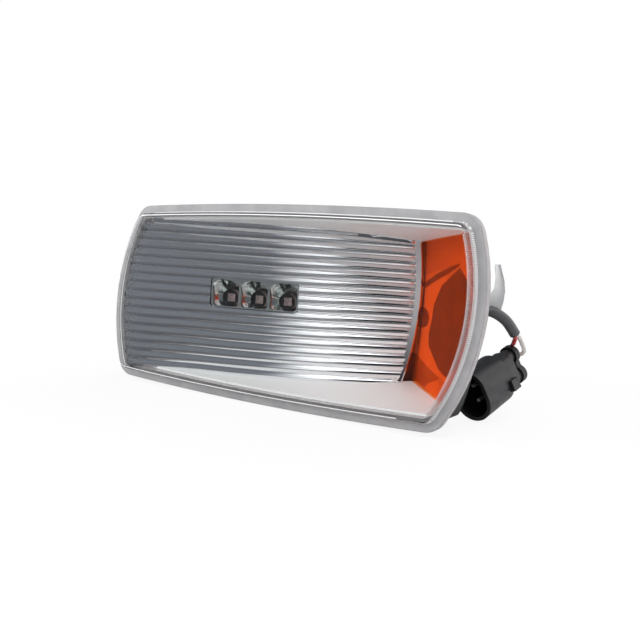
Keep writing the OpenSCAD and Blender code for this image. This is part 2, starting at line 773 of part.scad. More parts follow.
module connector_collar() {
    reach = 0.8;
    thickness = 3;
    waist = 5;
    color("#1f2123") at_connector() difference() {
        union() {
            for (x = [-tube_pitch / 2, tube_pitch / 2]) {
                translate([x, 0, 0]) rod(tube_radius + reach, connector_length - thickness, connector_length);
            }
            translate([-tube_pitch / 2, connector_length - thickness, -waist / 2]) cube([tube_pitch, thickness, waist]);
        }
        for (x = [-tube_pitch / 2, tube_pitch / 2]) {
            translate([x, 0, 0]) rod(tube_radius + slip, connector_length - thickness - fuse, connector_length - 1.5);
            translate([x, 0, 0]) rod(tube_radius - tube_wall, connector_length - thickness, connector_length + fuse);
        }
    }
}
module wire_seal(side) {
    color("#5c2f24") at_connector() translate([side * tube_pitch / 2, 0, 0]) difference() {
        rod(tube_radius - tube_wall - slip, connector_length - 7, connector_length);
        for (y = [connector_length - 5.4, connector_length - 3.2]) {
            difference() {
                rod(tube_radius, y, y + 1);
                rod(tube_radius - tube_wall - 0.4, y - fuse, y + 1 + fuse);
            }
        }
    }
}
pin_radius = 0.75;
module terminal(side) {
    crimp = 1.4;
    color("#c9cacb") at_connector() union() {
        translate([side * tube_pitch * 0.35, 0, 0]) rod(pin_radius, 4, 24);
        translate([side * tube_pitch / 2, 0, 0]) rod(crimp, 23.5, connector_length - 7);
    }
}

lens();
housing();
reflector();
cell_reflector();
led_board();
light(-1);  // led_1
light(0);  // led_2
light(1);  // led_3
regulator();
capacitor();
chip(4, 4, 4.3, 2.2, 2.6, "#202224");  // diode
chip(-3, -5, 3.2, 0.6, 1.6, "#202224");  // resistor_left
chip(4, -5, 3.2, 0.6, 1.6, "#202224");  // resistor_right
board_screw(-1);  // board_screw_left
board_screw(1);  // board_screw_right
amber_filter();
side_reflector();
side_led_board();
side_led();
insert(-insert_spacing / 2);  // insert_left
insert(insert_spacing / 2);  // insert_right
vent_plug();
lead_grommet();
wire_red();
wire_pale();
lead_sleeve();
label_flag();
connector_housing();
connector_collar();
wire_seal(-1);  // wire_seal_upper
wire_seal(1);  // wire_seal_lower
terminal(-1);  // terminal_upper
terminal(1);  // terminal_lower
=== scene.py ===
# %% [markdown]
# A side repeater lamp
#
# The real object is a flush lamp for the side of a vehicle: a clear bowed lens on a black housing, a
# chromed tray with horizontal flutes, a window with three lights, an amber chamber at the right end,
# and a short lead with a plug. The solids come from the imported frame. This script gives them their
# finishes, and remodels the pieces whose surface has to be smoother or richer than the solids are.

# %% Load the frame
import bmesh
import bpy
import math
from mathutils import Matrix, Vector
from mathutils.kdtree import KDTree


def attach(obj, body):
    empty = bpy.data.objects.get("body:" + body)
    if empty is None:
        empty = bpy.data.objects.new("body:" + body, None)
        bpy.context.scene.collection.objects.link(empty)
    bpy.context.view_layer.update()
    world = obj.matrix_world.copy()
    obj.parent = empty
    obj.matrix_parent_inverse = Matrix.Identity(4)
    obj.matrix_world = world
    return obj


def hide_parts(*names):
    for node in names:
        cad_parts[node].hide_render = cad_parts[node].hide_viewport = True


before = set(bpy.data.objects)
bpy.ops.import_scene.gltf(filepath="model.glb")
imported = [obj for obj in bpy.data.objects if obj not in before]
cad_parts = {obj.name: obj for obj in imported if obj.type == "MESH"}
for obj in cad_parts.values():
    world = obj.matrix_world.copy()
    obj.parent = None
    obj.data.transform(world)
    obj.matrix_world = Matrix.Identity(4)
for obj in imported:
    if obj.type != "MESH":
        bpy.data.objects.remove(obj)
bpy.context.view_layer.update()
MM = 0.001
LAMP_DEPTH = 60.0
print("nodes:", len(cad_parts))


def place(x, depth, z):
    """A point in metres, from millimetres along the lamp, behind the flange's front, and up."""
    return Vector((x, depth - LAMP_DEPTH, z)) * MM


# %% [markdown]
# The camera
#
# The photograph looks at the lamp from its right and a little from above, and close enough for the
# left end to look smaller. The camera is placed by its azimuth, height and distance from the point it
# looks at, and it leans a little to one side, as the photograph does. It could be set by hand in the
# viewport, but these few values were fitted to the lamp's outline and can be read and changed.

# %% Camera
VIEW_AZIMUTH = math.radians(36.0)
VIEW_ELEVATION = math.radians(3.86)
VIEW_ROLL = math.radians(3.56)
VIEW_DISTANCE = 287.0
VIEW_AIM = (23.3, 0.0, -3.27)
PHOTO_WIDTH = 640
FOCAL_PIXELS = 725.0
SENSOR = 36.0

eye = place(
    VIEW_DISTANCE * math.cos(VIEW_ELEVATION) * math.sin(VIEW_AZIMUTH),
    -VIEW_DISTANCE * math.cos(VIEW_ELEVATION) * math.cos(VIEW_AZIMUTH),
    VIEW_DISTANCE * math.sin(VIEW_ELEVATION))
ahead = (place(*VIEW_AIM) - eye).normalized()
level = ahead.cross(Vector((0, 0, 1))).normalized()
upward = level.cross(ahead)
right = math.cos(VIEW_ROLL) * level + math.sin(VIEW_ROLL) * upward
up = math.cos(VIEW_ROLL) * upward - math.sin(VIEW_ROLL) * level
camera_data = bpy.data.cameras.new("photo_camera")
camera_data.sensor_width = SENSOR
camera_data.lens = FOCAL_PIXELS / PHOTO_WIDTH * SENSOR
camera_data.clip_start = 0.01
camera = bpy.data.objects.new("photo_camera", camera_data)
bpy.context.scene.collection.objects.link(camera)
camera.matrix_world = Matrix.Translation(eye) @ Matrix((right, up, -ahead)).transposed().to_4x4()
bpy.context.scene.camera = camera
print("camera at", [round(v, 4) for v in eye], "lens", round(camera_data.lens, 1), "mm")

# %% [markdown]
# Finishes
#
# Every finish is a small node tree. It could be drawn by hand in the shader editor. Here short helpers
# add one node each and join it up, so that a finish reads as a few lines. They work on the world too,
# because its node tree has the same form.

# %% Node helpers


def node(owner, kind, values=None, **settings):
    """A new node of a material or the world, with its settings and the values of its sockets."""
    made = owner.node_tree.nodes.new(kind)
    for key, value in settings.items():
        setattr(made, key, value)
    for socket, value in (values or {}).items():
        made.inputs[socket].default_value = value
    return made


def join(owner, source, target):
    owner.node_tree.links.new(source, target)


def feed(owner, target, value):
    """Gives a socket a plain value or another node's output."""
    if isinstance(value, bpy.types.NodeSocket):
        join(owner, value, target)
    else:
        target.default_value = value


def along_axis(owner, space, axis):
    """How far a place lies along X, Y or Z, in one of the Texture Coordinate node's spaces."""
    where = node(owner, "ShaderNodeTexCoord").outputs[space]
    parts = node(owner, "ShaderNodeSeparateXYZ")
    join(owner, where, parts.inputs["Vector"])
    return parts.outputs[axis]


def value_range(owner, source, low, high, to_low=0.0, to_high=1.0, interpolation="LINEAR"):
    """Maps a value from one range to another."""
    made = node(owner, "ShaderNodeMapRange", interpolation_type=interpolation, values={
        "From Min": low, "From Max": high, "To Min": to_low, "To Max": to_high})
    join(owner, source, made.inputs["Value"])
    return made.outputs["Result"]


def arithmetic(owner, operation, first, second):
    """Works out one value from two, each a number or another node's output."""
    made = node(owner, "ShaderNodeMath", operation=operation)
    feed(owner, made.inputs[0], first)
    feed(owner, made.inputs[1], second)
    return made.outputs["Value"]


def colour_mix(owner, share, first, second):
    """Mixes two colours, each a plain colour or another node's output."""
    made = node(owner, "ShaderNodeMix", data_type="RGBA")
    for socket, colour in ((6, first), (7, second)):
        feed(owner, made.inputs[socket], (*colour, 1.0) if isinstance(colour, tuple) else colour)
    join(owner, share, made.inputs[0])
    return made.outputs[2]


def shader_mix(material, share, first, second):
    """Mixes two shaders by a share, and gives the result to the surface."""
    made = node(material, "ShaderNodeMixShader")
    join(material, share, made.inputs["Fac"])
    join(material, first, made.inputs[1])
    join(material, second, made.inputs[2])
    join(material, made.outputs["Shader"], material.node_tree.nodes["Material Output"].inputs["Surface"])


# %% [markdown]
# A finish starts as one Principled shader, whose plain values are set on its own sockets. Grain,
# waviness and wandering colours come from noise on Object coordinates, because those stay with the
# piece from every side. Clear plastic could be a true glass shader, but a share of straight light is
# quicker and cleaner in a thin wall, so the clear pieces let light through and shine when seen edge on.

# %% Finish helpers
NOISE_LOW, NOISE_HIGH = 0.3, 0.7


def finish(name, colour, **values):
    """A material with one Principled shader, and its plain values by socket name."""
    material = bpy.data.materials.new(name)
    material.use_nodes = True
    shader = shader_of(material)
    shader.inputs["Base Color"].default_value = (*colour, 1.0)
    for socket, value in values.items():
        shader.inputs[socket.replace("_", " ").title()].default_value = value
    return material


def shader_of(material):
    return material.node_tree.nodes["Principled BSDF"]


def object_noise(material, size_mm, detail=2.0, stretch=(1.0, 1.0, 1.0)):
    """Noise on Object coordinates whose grains are about size_mm across."""
    where = node(material, "ShaderNodeTexCoord")
    mapping = node(material, "ShaderNodeMapping", {"Scale": stretch})
    noise = node(material, "ShaderNodeTexNoise", {"Scale": 1.0 / (size_mm * MM), "Detail": detail})
    join(material, where.outputs["Object"], mapping.inputs["Vector"])
    join(material, mapping.outputs["Vector"], noise.inputs["Vector"])
    return noise.outputs["Fac"]


def add_grain(material, size_mm, height_mm, detail=2.0, stretch=(1.0, 1.0, 1.0)):
    """A fine bump on the whole surface."""
    bump = node(material, "ShaderNodeBump", {"Strength": 1.0, "Distance": height_mm * MM})
    join(material, object_noise(material, size_mm, detail, stretch), bump.inputs["Height"])
    join(material, bump.outputs["Normal"], shader_of(material).inputs["Normal"])


def add_range(material, socket, low, high, size_mm):
    """A socket that wanders between two values, or two colours, over the surface."""
    noise = object_noise(material, size_mm)
    if isinstance(low, tuple):
        wandering = colour_mix(material, value_range(material, noise, NOISE_LOW, NOISE_HIGH), low, high)
    else:
        wandering = value_range(material, noise, NOISE_LOW, NOISE_HIGH, low, high)
    join(material, wandering, shader_of(material).inputs[socket])


def see_through(material, clear, tint=(1.0, 1.0, 1.0), sheen=4.0):
    """Lets a share of the light straight through, less at glancing angles where plastic shines."""
    edge_on = node(material, "ShaderNodeLayerWeight").outputs["Facing"]
    steep = arithmetic(material, "POWER", edge_on, sheen)
    share = value_range(material, steep, 0.0, 1.0, 1.0 - clear, 1.0)
    transparent = node(material, "ShaderNodeBsdfTransparent", {"Color": (*tint, 1.0)})
    shader_mix(material, share, transparent.outputs["BSDF"], shader_of(material).outputs["BSDF"])


# %% [markdown]
# Chrome, and painted reflections
#
# The tray and the cells are plastic with a skin of metal, close to a mirror. A perfect mirror looks
# drawn, so the tray gets a slight waviness from its mould and the cells a deeper crinkle. The tray's
# top and bottom walls are chrome too, but they are drawn as near-white satin, a painted reflection.
# The divider's front is chrome as well, drawn as a painted reflection: grey that gets dark towards
# its foot, so its colour follows the height.

# %% Chrome and painted reflections
DIVIDER_REFLECTED_GREY, DIVIDER_FOOT_DARK_REFLECTION = (0.4, 0.41, 0.42), (0.05, 0.055, 0.065)
FOOT_DARKENING_START, FOOT_DARKENING_END = -28 * MM, 8 * MM
chrome = finish("tray_chrome", (0.88, 0.89, 0.91), metallic=1.0, roughness=0.05)
add_grain(chrome, 7.0, 0.006)
cell_chrome = finish("cell_chrome", (0.74, 0.77, 0.75), metallic=1.0, roughness=0.08)
add_grain(cell_chrome, 2.2, 0.09)
# Near-white satin for the chrome top and bottom walls and the lip: a painted reflection.
wall_painted_reflection = finish("wall_painted_reflection", (0.95, 0.96, 0.95), metallic=0.1, roughness=0.42)
add_grain(wall_painted_reflection, 9.0, 0.02)
# The divider's chrome front as grey that darkens towards its foot: a painted reflection.
divider_painted_reflection = finish("divider_painted_reflection", DIVIDER_REFLECTED_GREY, roughness=0.42)
above_darkened_foot = value_range(divider_painted_reflection, along_axis(divider_painted_reflection, "Object", "Z"), FOOT_DARKENING_START, FOOT_DARKENING_END,
                         interpolation="SMOOTHSTEP")
divider_painted_colour = colour_mix(divider_painted_reflection, above_darkened_foot, DIVIDER_FOOT_DARK_REFLECTION, DIVIDER_REFLECTED_GREY)
join(divider_painted_reflection, divider_painted_colour, shader_of(divider_painted_reflection).inputs["Base Color"])
print("chrome and satin:", len(bpy.data.materials))

# %% [markdown]
# Plastics, boards and metals
#
# The housing is black plastic with a moulded grain. Its vent and grommet are a little greyer and
# duller, the boards are smooth lacquer, and the small metal parts are bright zinc, brass and aluminium.
# Noise gives each of them a grain of its own size, and stretched noise gives turned metal its lines.

# %% Housing and board finishes
black_plastic = finish("housing_black", (0.022, 0.022, 0.024), roughness=0.5)
add_grain(black_plastic, 0.5, 0.03, 3.0)
add_range(black_plastic, "Roughness", 0.42, 0.6, 9.0)
vent_grey = finish("vent_grey", (0.05, 0.052, 0.055), roughness=0.55)
add_grain(vent_grey, 0.4, 0.02)
soft_black = finish("grommet_rubber", (0.014, 0.014, 0.015), roughness=0.7)
add_grain(soft_black, 0.35, 0.02, 3.0)
board_black = finish("board_black", (0.012, 0.014, 0.016), roughness=0.35)
add_grain(board_black, 0.3, 0.01)
light_resin = finish("light_resin", (0.3, 0.22, 0.22), roughness=0.25, coat_weight=0.6)
add_range(light_resin, "Base Color", (0.24, 0.17, 0.17), (0.38, 0.3, 0.29), 1.2)
amber_resin = finish("amber_resin", (0.85, 0.5, 0.08), roughness=0.2, coat_weight=0.6)
add_range(amber_resin, "Base Color", (0.8, 0.42, 0.05), (0.9, 0.62, 0.14), 1.2)
chip_black = finish("chip_black", (0.015, 0.015, 0.016), roughness=0.45)
add_grain(chip_black, 0.2, 0.01)
can_metal = finish("can_metal", (0.7, 0.71, 0.72), metallic=1.0, roughness=0.3)
add_grain(can_metal, 0.8, 0.008, 2.0, (1.0, 1.0, 8.0))
zinc_steel = finish("zinc_steel", (0.62, 0.62, 0.6), metallic=1.0, roughness=0.32)
add_grain(zinc_steel, 0.4, 0.01)
brass = finish("insert_brass", (0.72, 0.52, 0.22), metallic=1.0, roughness=0.28)
add_grain(brass, 0.3, 0.01, 2.0, (1.0, 8.0, 1.0))
print("with plastics and metals:", len(bpy.data.materials))

# %% [markdown]
# The lead's finishes
#
# The lead has a red and a pale jacket under a grey sleeve, a white label and a black plug. One flat
# colour on a jacket looks like paint, so each colour wanders a little along the wire.

# %% Lead finishes
red_jacket = finish("red_jacket", (0.62, 0.035, 0.045), roughness=0.38)
add_range(red_jacket, "Base Color", (0.5, 0.022, 0.03), (0.68, 0.045, 0.055), 2.5)
pale_jacket = finish("pale_jacket", (0.66, 0.64, 0.6), roughness=0.4)
add_range(pale_jacket, "Base Color", (0.6, 0.57, 0.52), (0.72, 0.7, 0.67), 2.5)
sleeve_grey = finish("sleeve_grey", (0.085, 0.085, 0.09), roughness=0.42)
add_grain(sleeve_grey, 0.5, 0.012)
label_white = finish("label_white", (0.9, 0.9, 0.9), roughness=0.35)
add_range(label_white, "Base Color", (0.86, 0.87, 0.87), (0.93, 0.93, 0.93), 5.0)
plug_black = finish("plug_black", (0.009, 0.0095, 0.0105), roughness=0.4)
add_grain(plug_black, 0.35, 0.018, 3.0)
add_range(plug_black, "Roughness", 0.32, 0.46, 5.0)
collar_black = finish("collar_black", (0.01, 0.01, 0.011), roughness=0.5)
add_grain(collar_black, 0.35, 0.015)
seal_brown = finish("seal_brown", (0.2, 0.06, 0.03), roughness=0.6)
add_grain(seal_brown, 0.4, 0.02)
tin = finish("terminal_tin", (0.34, 0.34, 0.35), metallic=0.8, roughness=0.4)
add_grain(tin, 0.5, 0.008)
print("with the lead:", len(bpy.data.materials))

# %% [markdown]
# Clear plastics
#
# The lens is one clear moulding, but it doesn't look clear all over. Its face is, its flange and outer
# wall are milky where the mould and the weld dulled them, and the glints on its fine ribs and round
# its crown's edge are painted highlights in a white finish. So it gets five finishes, and the faces of
# each are picked by their place. The amber sheet colours the light that goes through it, and gets a
# little of its own colour back from the surface.

# %% Clear finishes
amber_clear = finish("amber_clear", (0.9, 0.12, 0.005), roughness=0.1)
add_grain(amber_clear, 4.0, 0.008)
see_through(amber_clear, 0.94, (0.998, 0.56, 0.26), 10.0)
lens_clear = finish("lens_clear", (0.1, 0.1, 0.1), roughness=0.03)
add_grain(lens_clear, 14.0, 0.006)
see_through(lens_clear, 0.975, (0.985, 0.99, 0.99))
lens_wall = finish("lens_wall", (0.62, 0.6, 0.6), roughness=0.2)
add_grain(lens_wall, 0.6, 0.01)
see_through(lens_wall, 0.35, (0.95, 0.93, 0.93))
lens_rim = finish("lens_rim", (0.32, 0.315, 0.32), roughness=0.22, coat_weight=0.4)
add_range(lens_rim, "Base Color", (0.29, 0.285, 0.29), (0.35, 0.345, 0.35), 7.0)
lens_side = finish("lens_side", (0.65, 0.61, 0.61), roughness=0.25, coat_weight=0.3)
add_range(lens_side, "Base Color", (0.6, 0.56, 0.56), (0.7, 0.66, 0.66), 9.0)
see_through(lens_side, 0.55, (0.96, 0.93, 0.93))
# A white finish for painted highlights: the glints on the fine ribs and round the crown's edge.
lens_painted_highlight = finish("lens_painted_highlight", (0.82, 0.82, 0.82), roughness=0.4)
add_grain(lens_painted_highlight, 0.3, 0.02)
print("with clear plastics:", len(bpy.data.materials))

# %% [markdown]
# The end chamber's finishes
#
# The chamber behind the amber sheet is bright where it faces the light and dark where it turns away.
# Full relief behind the sheet would show different reflections from every side, so its light and dark
# fields are finishes instead, from bright to shade.

# %% Chamber finishes
chamber_bright = finish("chamber_bright", (1.0, 0.95, 0.9), metallic=0.1, roughness=0.4)
add_grain(chamber_bright, 5.0, 0.02)
chamber_mid = finish("chamber_mid", (0.8, 0.72, 0.66), metallic=0.1, roughness=0.35)
add_grain(chamber_mid, 5.0, 0.02)
chamber_dusk = finish("chamber_dusk", (0.42, 0.36, 0.32), roughness=0.35)
add_range(chamber_dusk, "Base Color", (0.3, 0.25, 0.22), (0.55, 0.47, 0.42), 14.0)
chamber_shade = finish("chamber_shade", (0.15, 0.12, 0.12), roughness=0.35)
add_range(chamber_shade, "Base Color", (0.1, 0.09, 0.1), (0.2, 0.15, 0.14), 9.0)
print("finishes in all:", len(bpy.data.materials))

# %% [markdown]
# The lead
#
# Two thin wires leave the grommet side by side, run through a short sleeve, and turn back into the
# rear of the plug. The photograph shows all but the lead's first stretch behind the flange, so this is
# all of it. The solids have straight joints at each point. Here each wire is a curve with a round
# bevel through the same points, because a curve bends as smoothly as a real wire.

# %% Wires
WIRE_RADIUS = 0.9
LENGTH_STEPS, ROUND_STEPS = 8, 5
WALL_NORMAL = Vector((0.81923, 0.57346, 0.0))
LEAD_EXIT, EXIT_STRAIGHT = Vector((59.507, 46.72, 3.4)), 3
LEAD_POINTS = [LEAD_EXIT, LEAD_EXIT + EXIT_STRAIGHT * WALL_NORMAL] + [Vector(p) for p in (
    (66.5, 49.4, 3.5), (69.2, 49.8, 3.4), (72.4, 50.6, 3.0), (75.0, 52.7, 1.6),
    (77.6, 55.3, -1.0), (79.9, 59.2, -5.7))]
WIRE_OFFSET = Vector((0.09, -0.7, -0.69))
EXIT_OFFSET = WIRE_OFFSET - WIRE_OFFSET.dot(WALL_NORMAL) * WALL_NORMAL
EXIT_KNOTS = 2
RED_POINTS = [(77.9, 65.2, -9.6), (76.0, 70.8, -11.0), (73.8, 72.3, -14.1), (72.1, 74.8, -17.6),
              (72.4, 77.8, -21.3), (74.3, 80.0, -23.5), (76.9, 79.6, -23.5), (78.8, 76.3, -22.8)]
PALE_POINTS = [(80.3, 65.8, -8.3), (80.0, 70.1, -10.5), (79.3, 75.3, -12.8), (78.0, 79.6, -15.0),
               (76.0, 81.2, -16.3), (75.1, 78.3, -15.9), (75.7, 74.2, -15.0)]
PLUG_MOUTH = Vector((71.6, 36.3, -30.0))
PLUG_TURN = (Matrix.Rotation(math.radians(-9.8), 3, "Z") @ Matrix.Rotation(math.radians(17.6), 3, "X")
             @ Matrix.Rotation(math.radians(71.0), 3, "Y"))
PLUG_LENGTH = 36.5
TUBE_PITCH = 8.6
SEAL_EXIT = 1.2


def on_plug(x, y, z):
    """A point in millimetres given across, along and above the plug, with its mouth at 0."""
    return PLUG_MOUTH + PLUG_TURN @ Vector((x, y, z))


def wire(name, side, points, tube, material):
    """One wire as a smooth curve through its route, from the grommet to its seal."""
    route = [p + side * (EXIT_OFFSET if i < EXIT_KNOTS else WIRE_OFFSET) for i, p in enumerate(LEAD_POINTS)]
    route += [Vector(p) for p in points]
    route += [on_plug(tube * TUBE_PITCH / 2, PLUG_LENGTH + SEAL_EXIT, 0),
              on_plug(tube * TUBE_PITCH / 2, PLUG_LENGTH, 0)]
    curve = bpy.data.curves.new(name, "CURVE")
    curve.dimensions = "3D"
    spline = curve.splines.new("BEZIER")
    spline.bezier_points.add(len(route) - 1)
    for knot, p in zip(spline.bezier_points, route):
        knot.co = place(*p)
        knot.handle_left_type = knot.handle_right_type = "AUTO"
    spline.resolution_u = LENGTH_STEPS
    curve.bevel_depth = WIRE_RADIUS * MM
    curve.bevel_resolution = ROUND_STEPS
    curve.use_fill_caps = True
    curve.materials.append(material)
    piece = bpy.data.objects.new(name, curve)
    bpy.context.scene.collection.objects.link(piece)
    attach(piece, "root")
    length = sum((b - a).length for a, b in zip(route, route[1:])) * MM
    return piece, route, length


red_wire, red_route, red_length = wire("wire_red_smooth", 1, RED_POINTS, 1, red_jacket)
pale_wire, pale_route, pale_length = wire("wire_pale_smooth", -1, PALE_POINTS, -1, pale_jacket)
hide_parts("wire_red")
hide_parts("wire_pale")
print("wires:", round(red_length, 4), round(pale_length, 4), "m")

# %% [markdown]
# Rings of edges
#
# Most pieces here follow the lamp's barrel outline. They could be cut from blocks, but their walls are
# thin and their edges rounded. So they start as a circle whose points lie on that outline, and grow by
# extruding the last ring of edges. After each extrusion the new points lie on the old ones, so a
# nearest point search tells which is which, and each goes to its own place on the next ring.

# %% Ring helpers


def start_ring(name, points):
    """A circle of edges whose points are set on the first ring."""
    bpy.ops.object.select_all(action="DESELECT")
    bpy.ops.mesh.primitive_circle_add(vertices=len(points), radius=1.0)
    piece = bpy.context.object
    piece.name = piece.data.name = name
    for vertex, point in zip(piece.data.vertices, points):
        vertex.co = point
    return piece


def extrude_rings(piece, rings, closed=False):
    """Extrudes the last ring of edges to each ring in turn, and closes the ends or joins them."""
    bpy.ops.object.mode_set(mode="EDIT")
    bpy.ops.mesh.select_all(action="SELECT")
    last = [v.co.copy() for v in bmesh.from_edit_mesh(piece.data).verts]
    first = last
    for ring in rings + ([first] if closed else []):
        bpy.ops.mesh.extrude_edges_move()
        tree = KDTree(len(last))
        for i, point in enumerate(last):
            tree.insert(point, i)
        tree.balance()
        mesh = bmesh.from_edit_mesh(piece.data)
        for vertex in mesh.verts:
            if vertex.select:
                vertex.co = ring[tree.find(vertex.co)[1]]
        bmesh.update_edit_mesh(piece.data)
        last = ring
    bpy.ops.mesh.select_all(action="SELECT")
    if closed:
        bpy.ops.mesh.remove_doubles(threshold=1e-6)
    else:
        bpy.ops.mesh.select_all(action="DESELECT")
        bpy.ops.mesh.select_non_manifold()
        bpy.ops.mesh.edge_face_add()
    bpy.ops.mesh.select_all(action="SELECT")
    bpy.ops.mesh.normals_make_consistent(inside=False)
    bpy.ops.object.mode_set(mode="OBJECT")


# %% [markdown]
# Curved sheets
#
# The panel, the chamber's lining and the label are sheets that curve in their own ways. They could be
# sculpted, but each follows a formula. So each starts as a flat grid, whose points are moved to the
# surface, and a Solidify modifier gives it its wall.

# %% Sheet helper


def grid_sheet(name, columns, rows, point, thickness):
    """A grid whose points are set by point(s, t), with s and t from 0 to 1, and its wall."""
    bpy.ops.object.select_all(action="DESELECT")
    bpy.ops.mesh.primitive_grid_add(x_subdivisions=columns, y_subdivisions=rows, size=2.0)
    piece = bpy.context.object
    piece.name = piece.data.name = name
    for vertex in piece.data.vertices:
        vertex.co = point((vertex.co.x + 1) / 2, (vertex.co.y + 1) / 2)
    wall = piece.modifiers.new("wall", "SOLIDIFY")
    wall.thickness = thickness * MM
    wall.offset = -1.0
    bpy.ops.object.modifier_apply(modifier=wall.name)
    return piece


# %% [markdown]
# Finishing a piece
#
# Every finished piece gets its finishes, smooth shading up to an angle and its body, and the solids it
# stands for are hidden. Faces could be given a finish by hand in edit mode. Here a test picks
# them by their place and the way they face, so they are still right if a size changes.

# %% Finishing helpers


def smooth_and_ride(piece, slot, *materials, nodes, angle=40.0):
    """Normals, finishes and body of a finished piece, and the solids that it replaces, which it hides; the
    slot is not used.
    """
    for material in materials:
        piece.data.materials.append(material)
    bpy.ops.object.select_all(action="DESELECT")
    piece.select_set(True)
    bpy.context.view_layer.objects.active = piece
    bpy.ops.object.shade_smooth_by_angle(angle=math.radians(angle))
    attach(piece, "root")
    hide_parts(*nodes)


def material_by_place(piece, index, test):
    """Gives the faces whose middle passes a test another of the piece's materials."""
    for face in piece.data.polygons:
        if test(face.center, face.normal):
            face.material_index = index


def merge(pieces, name):
    """Several closed shapes as one object."""
    bpy.ops.object.select_all(action="DESELECT")
    for piece in pieces:
        piece.select_set(True)
    bpy.context.view_layer.objects.active = pieces[0]
    bpy.ops.object.join()
    pieces[0].name = pieces[0].data.name = name
    return pieces[0]


# %% [markdown]
# The barrel outline
#
# Seen from the front the lamp is a barrel on its side: two bowed ends, two long edges that bow very
# little, and four small corners. The ends lean, because their widest points lie off the middle, at
# opposite heights. A scaled copy of the edge would give uneven walls, so every arc is drawn parallel
# to the edge at a given distance inside it.

# %% Outline
LENGTH = 175.0
HEIGHT = 80.0
END_RADIUS = 83.0
END_SHIFT = 9.0
EDGE_RADIUS = 1600.0
CORNER = 8.0
SMALLEST_CORNER = 0.8
END_CENTRE = Vector((LENGTH / 2 - END_RADIUS, END_SHIFT))
TOP_CENTRE = Vector((0.0, HEIGHT / 2 - EDGE_RADIUS))
END_STEPS, CORNER_STEPS, EDGE_STEPS = 184, 10, 50


def angle_of(v):
    return math.atan2(v.y, v.x)


def circles_meet(c1, r1, c2, r2, side):
    """Where two circles meet, on one side of the line between their middles."""
    gap = c2 - c1
    d = gap.length
    u = gap / d
    a = (r1 * r1 - r2 * r2 + d * d) / (2 * d)
    return c1 + a * u + side * math.sqrt(r1 * r1 - a * a) * Vector((-u.y, u.x))


def arc(centre, radius, start, end, steps):
    """Points along an arc, without its last one, because the next arc starts there."""
    angles = (start + (end - start) * i / steps for i in range(steps))
    return [centre + radius * Vector((math.cos(a), math.sin(a))) for a in angles]


def outline(inset, tooth=0.0):
    """Points of the outline at a distance inside the edge. A tooth makes the ends zigzag."""
    corner = max(CORNER - inset, SMALLEST_CORNER)
    end, edge = END_RADIUS - inset, EDGE_RADIUS - inset
    high = circles_meet(END_CENTRE, end - corner, TOP_CENTRE, edge - corner, 1)
    low = circles_meet(END_CENTRE, end - corner, -TOP_CENTRE, edge - corner, -1)
    bow = arc(END_CENTRE, end, angle_of(low - END_CENTRE), angle_of(high - END_CENTRE), END_STEPS)
    for i, p in enumerate(bow):
        bow[i] = p + (tooth * (i % 2)) * (END_CENTRE - p).normalized()
    half = arc(low, corner, angle_of(low + TOP_CENTRE), angle_of(low - END_CENTRE), CORNER_STEPS)
    half += bow
    half += arc(high, corner, angle_of(high - END_CENTRE), angle_of(high - TOP_CENTRE), CORNER_STEPS)
    half += arc(TOP_CENTRE, edge, angle_of(high - TOP_CENTRE), angle_of(-low - TOP_CENTRE), EDGE_STEPS)
    return half + [-p for p in half]


def outline_ring(depth, inset, tooth=0.0):
    return [place(p.x, depth, p.y) for p in outline(inset, tooth)]


print("outline points:", len(outline(0.0)))

# %% [markdown]
# The lens
#
# The lens is one clear moulding: a flat flange that is welded to the housing, a low crown with a
# rounded edge, and fine ribs inside the crown's wall at both ends. It could be a plate with a thickness
# modifier, but its inside differs from its outside. So it grows from a ring at the middle of the
# front, out over the crown and flange, and back along the inside.

# %% Lens
FLANGE_THICKNESS, FLANGE_WIDTH, FLANGE_ROUND, FLANGE_EASE = 3.5, 3.6, 0.6, 0.2
CROWN_HEIGHT, CROWN_EDGE, CROWN_BOW, CROWN_OUTER = 4.0, 1.1, 0.6, 1.4
CROWN_FOOT = [(-1.2, 0.0), (-0.5, 0.1), (0.0, 0.5)]
FACE_NEAR, FACE_FAR = 8, 18
LENS_WALL = 1.6
RIB_HEIGHT = 0.35
OUTER_STEPS, INNER_STEPS = 6, 4
lens_inner = FLANGE_WIDTH + LENS_WALL
lens_back = LENS_WALL - CROWN_HEIGHT


def quarter(depth, inset, size, steps, tooth=0.0):
    """Rings of a rounded edge, from the front face round to the wall: depth, inset and tooth."""
    rings = []
    for i in range(steps + 1):
        a = math.pi / 2 * i / steps
        rings.append((depth + size * (1 - math.cos(a)), inset + size * (1 - math.sin(a)), tooth))
    return rings


lens_rings = [(-CROWN_HEIGHT - CROWN_BOW / 2, lens_inner + FACE_NEAR)]
lens_rings += quarter(-CROWN_HEIGHT, FLANGE_WIDTH, CROWN_EDGE * CROWN_OUTER, OUTER_STEPS)
lens_rings += [(depth, FLANGE_WIDTH - out) for depth, out in CROWN_FOOT]
lens_rings += quarter(0.0, 0.0, FLANGE_ROUND, INNER_STEPS)
lens_rings += [(FLANGE_THICKNESS - FLANGE_EASE, 0.0), (FLANGE_THICKNESS, FLANGE_EASE)]
lens_rings += [(FLANGE_THICKNESS, lens_inner, RIB_HEIGHT)]
lens_rings += reversed(quarter(lens_back, lens_inner, CROWN_EDGE, INNER_STEPS, RIB_HEIGHT))
lens_rings += [(lens_back - CROWN_BOW / 2, lens_inner + FACE_NEAR)]
lens_rings += [(lens_back - CROWN_BOW, lens_inner + FACE_FAR)]
lens = start_ring("lens_moulding", outline_ring(-CROWN_HEIGHT - CROWN_BOW, lens_inner + FACE_FAR))
extrude_rings(lens, [outline_ring(*ring) for ring in lens_rings])
smooth_and_ride(lens, "clear_lens", lens_clear, lens_wall, lens_rim, lens_side, lens_painted_highlight,
                angle=35.0, nodes=("lens",))
print("lens faces:", len(lens.data.polygons))
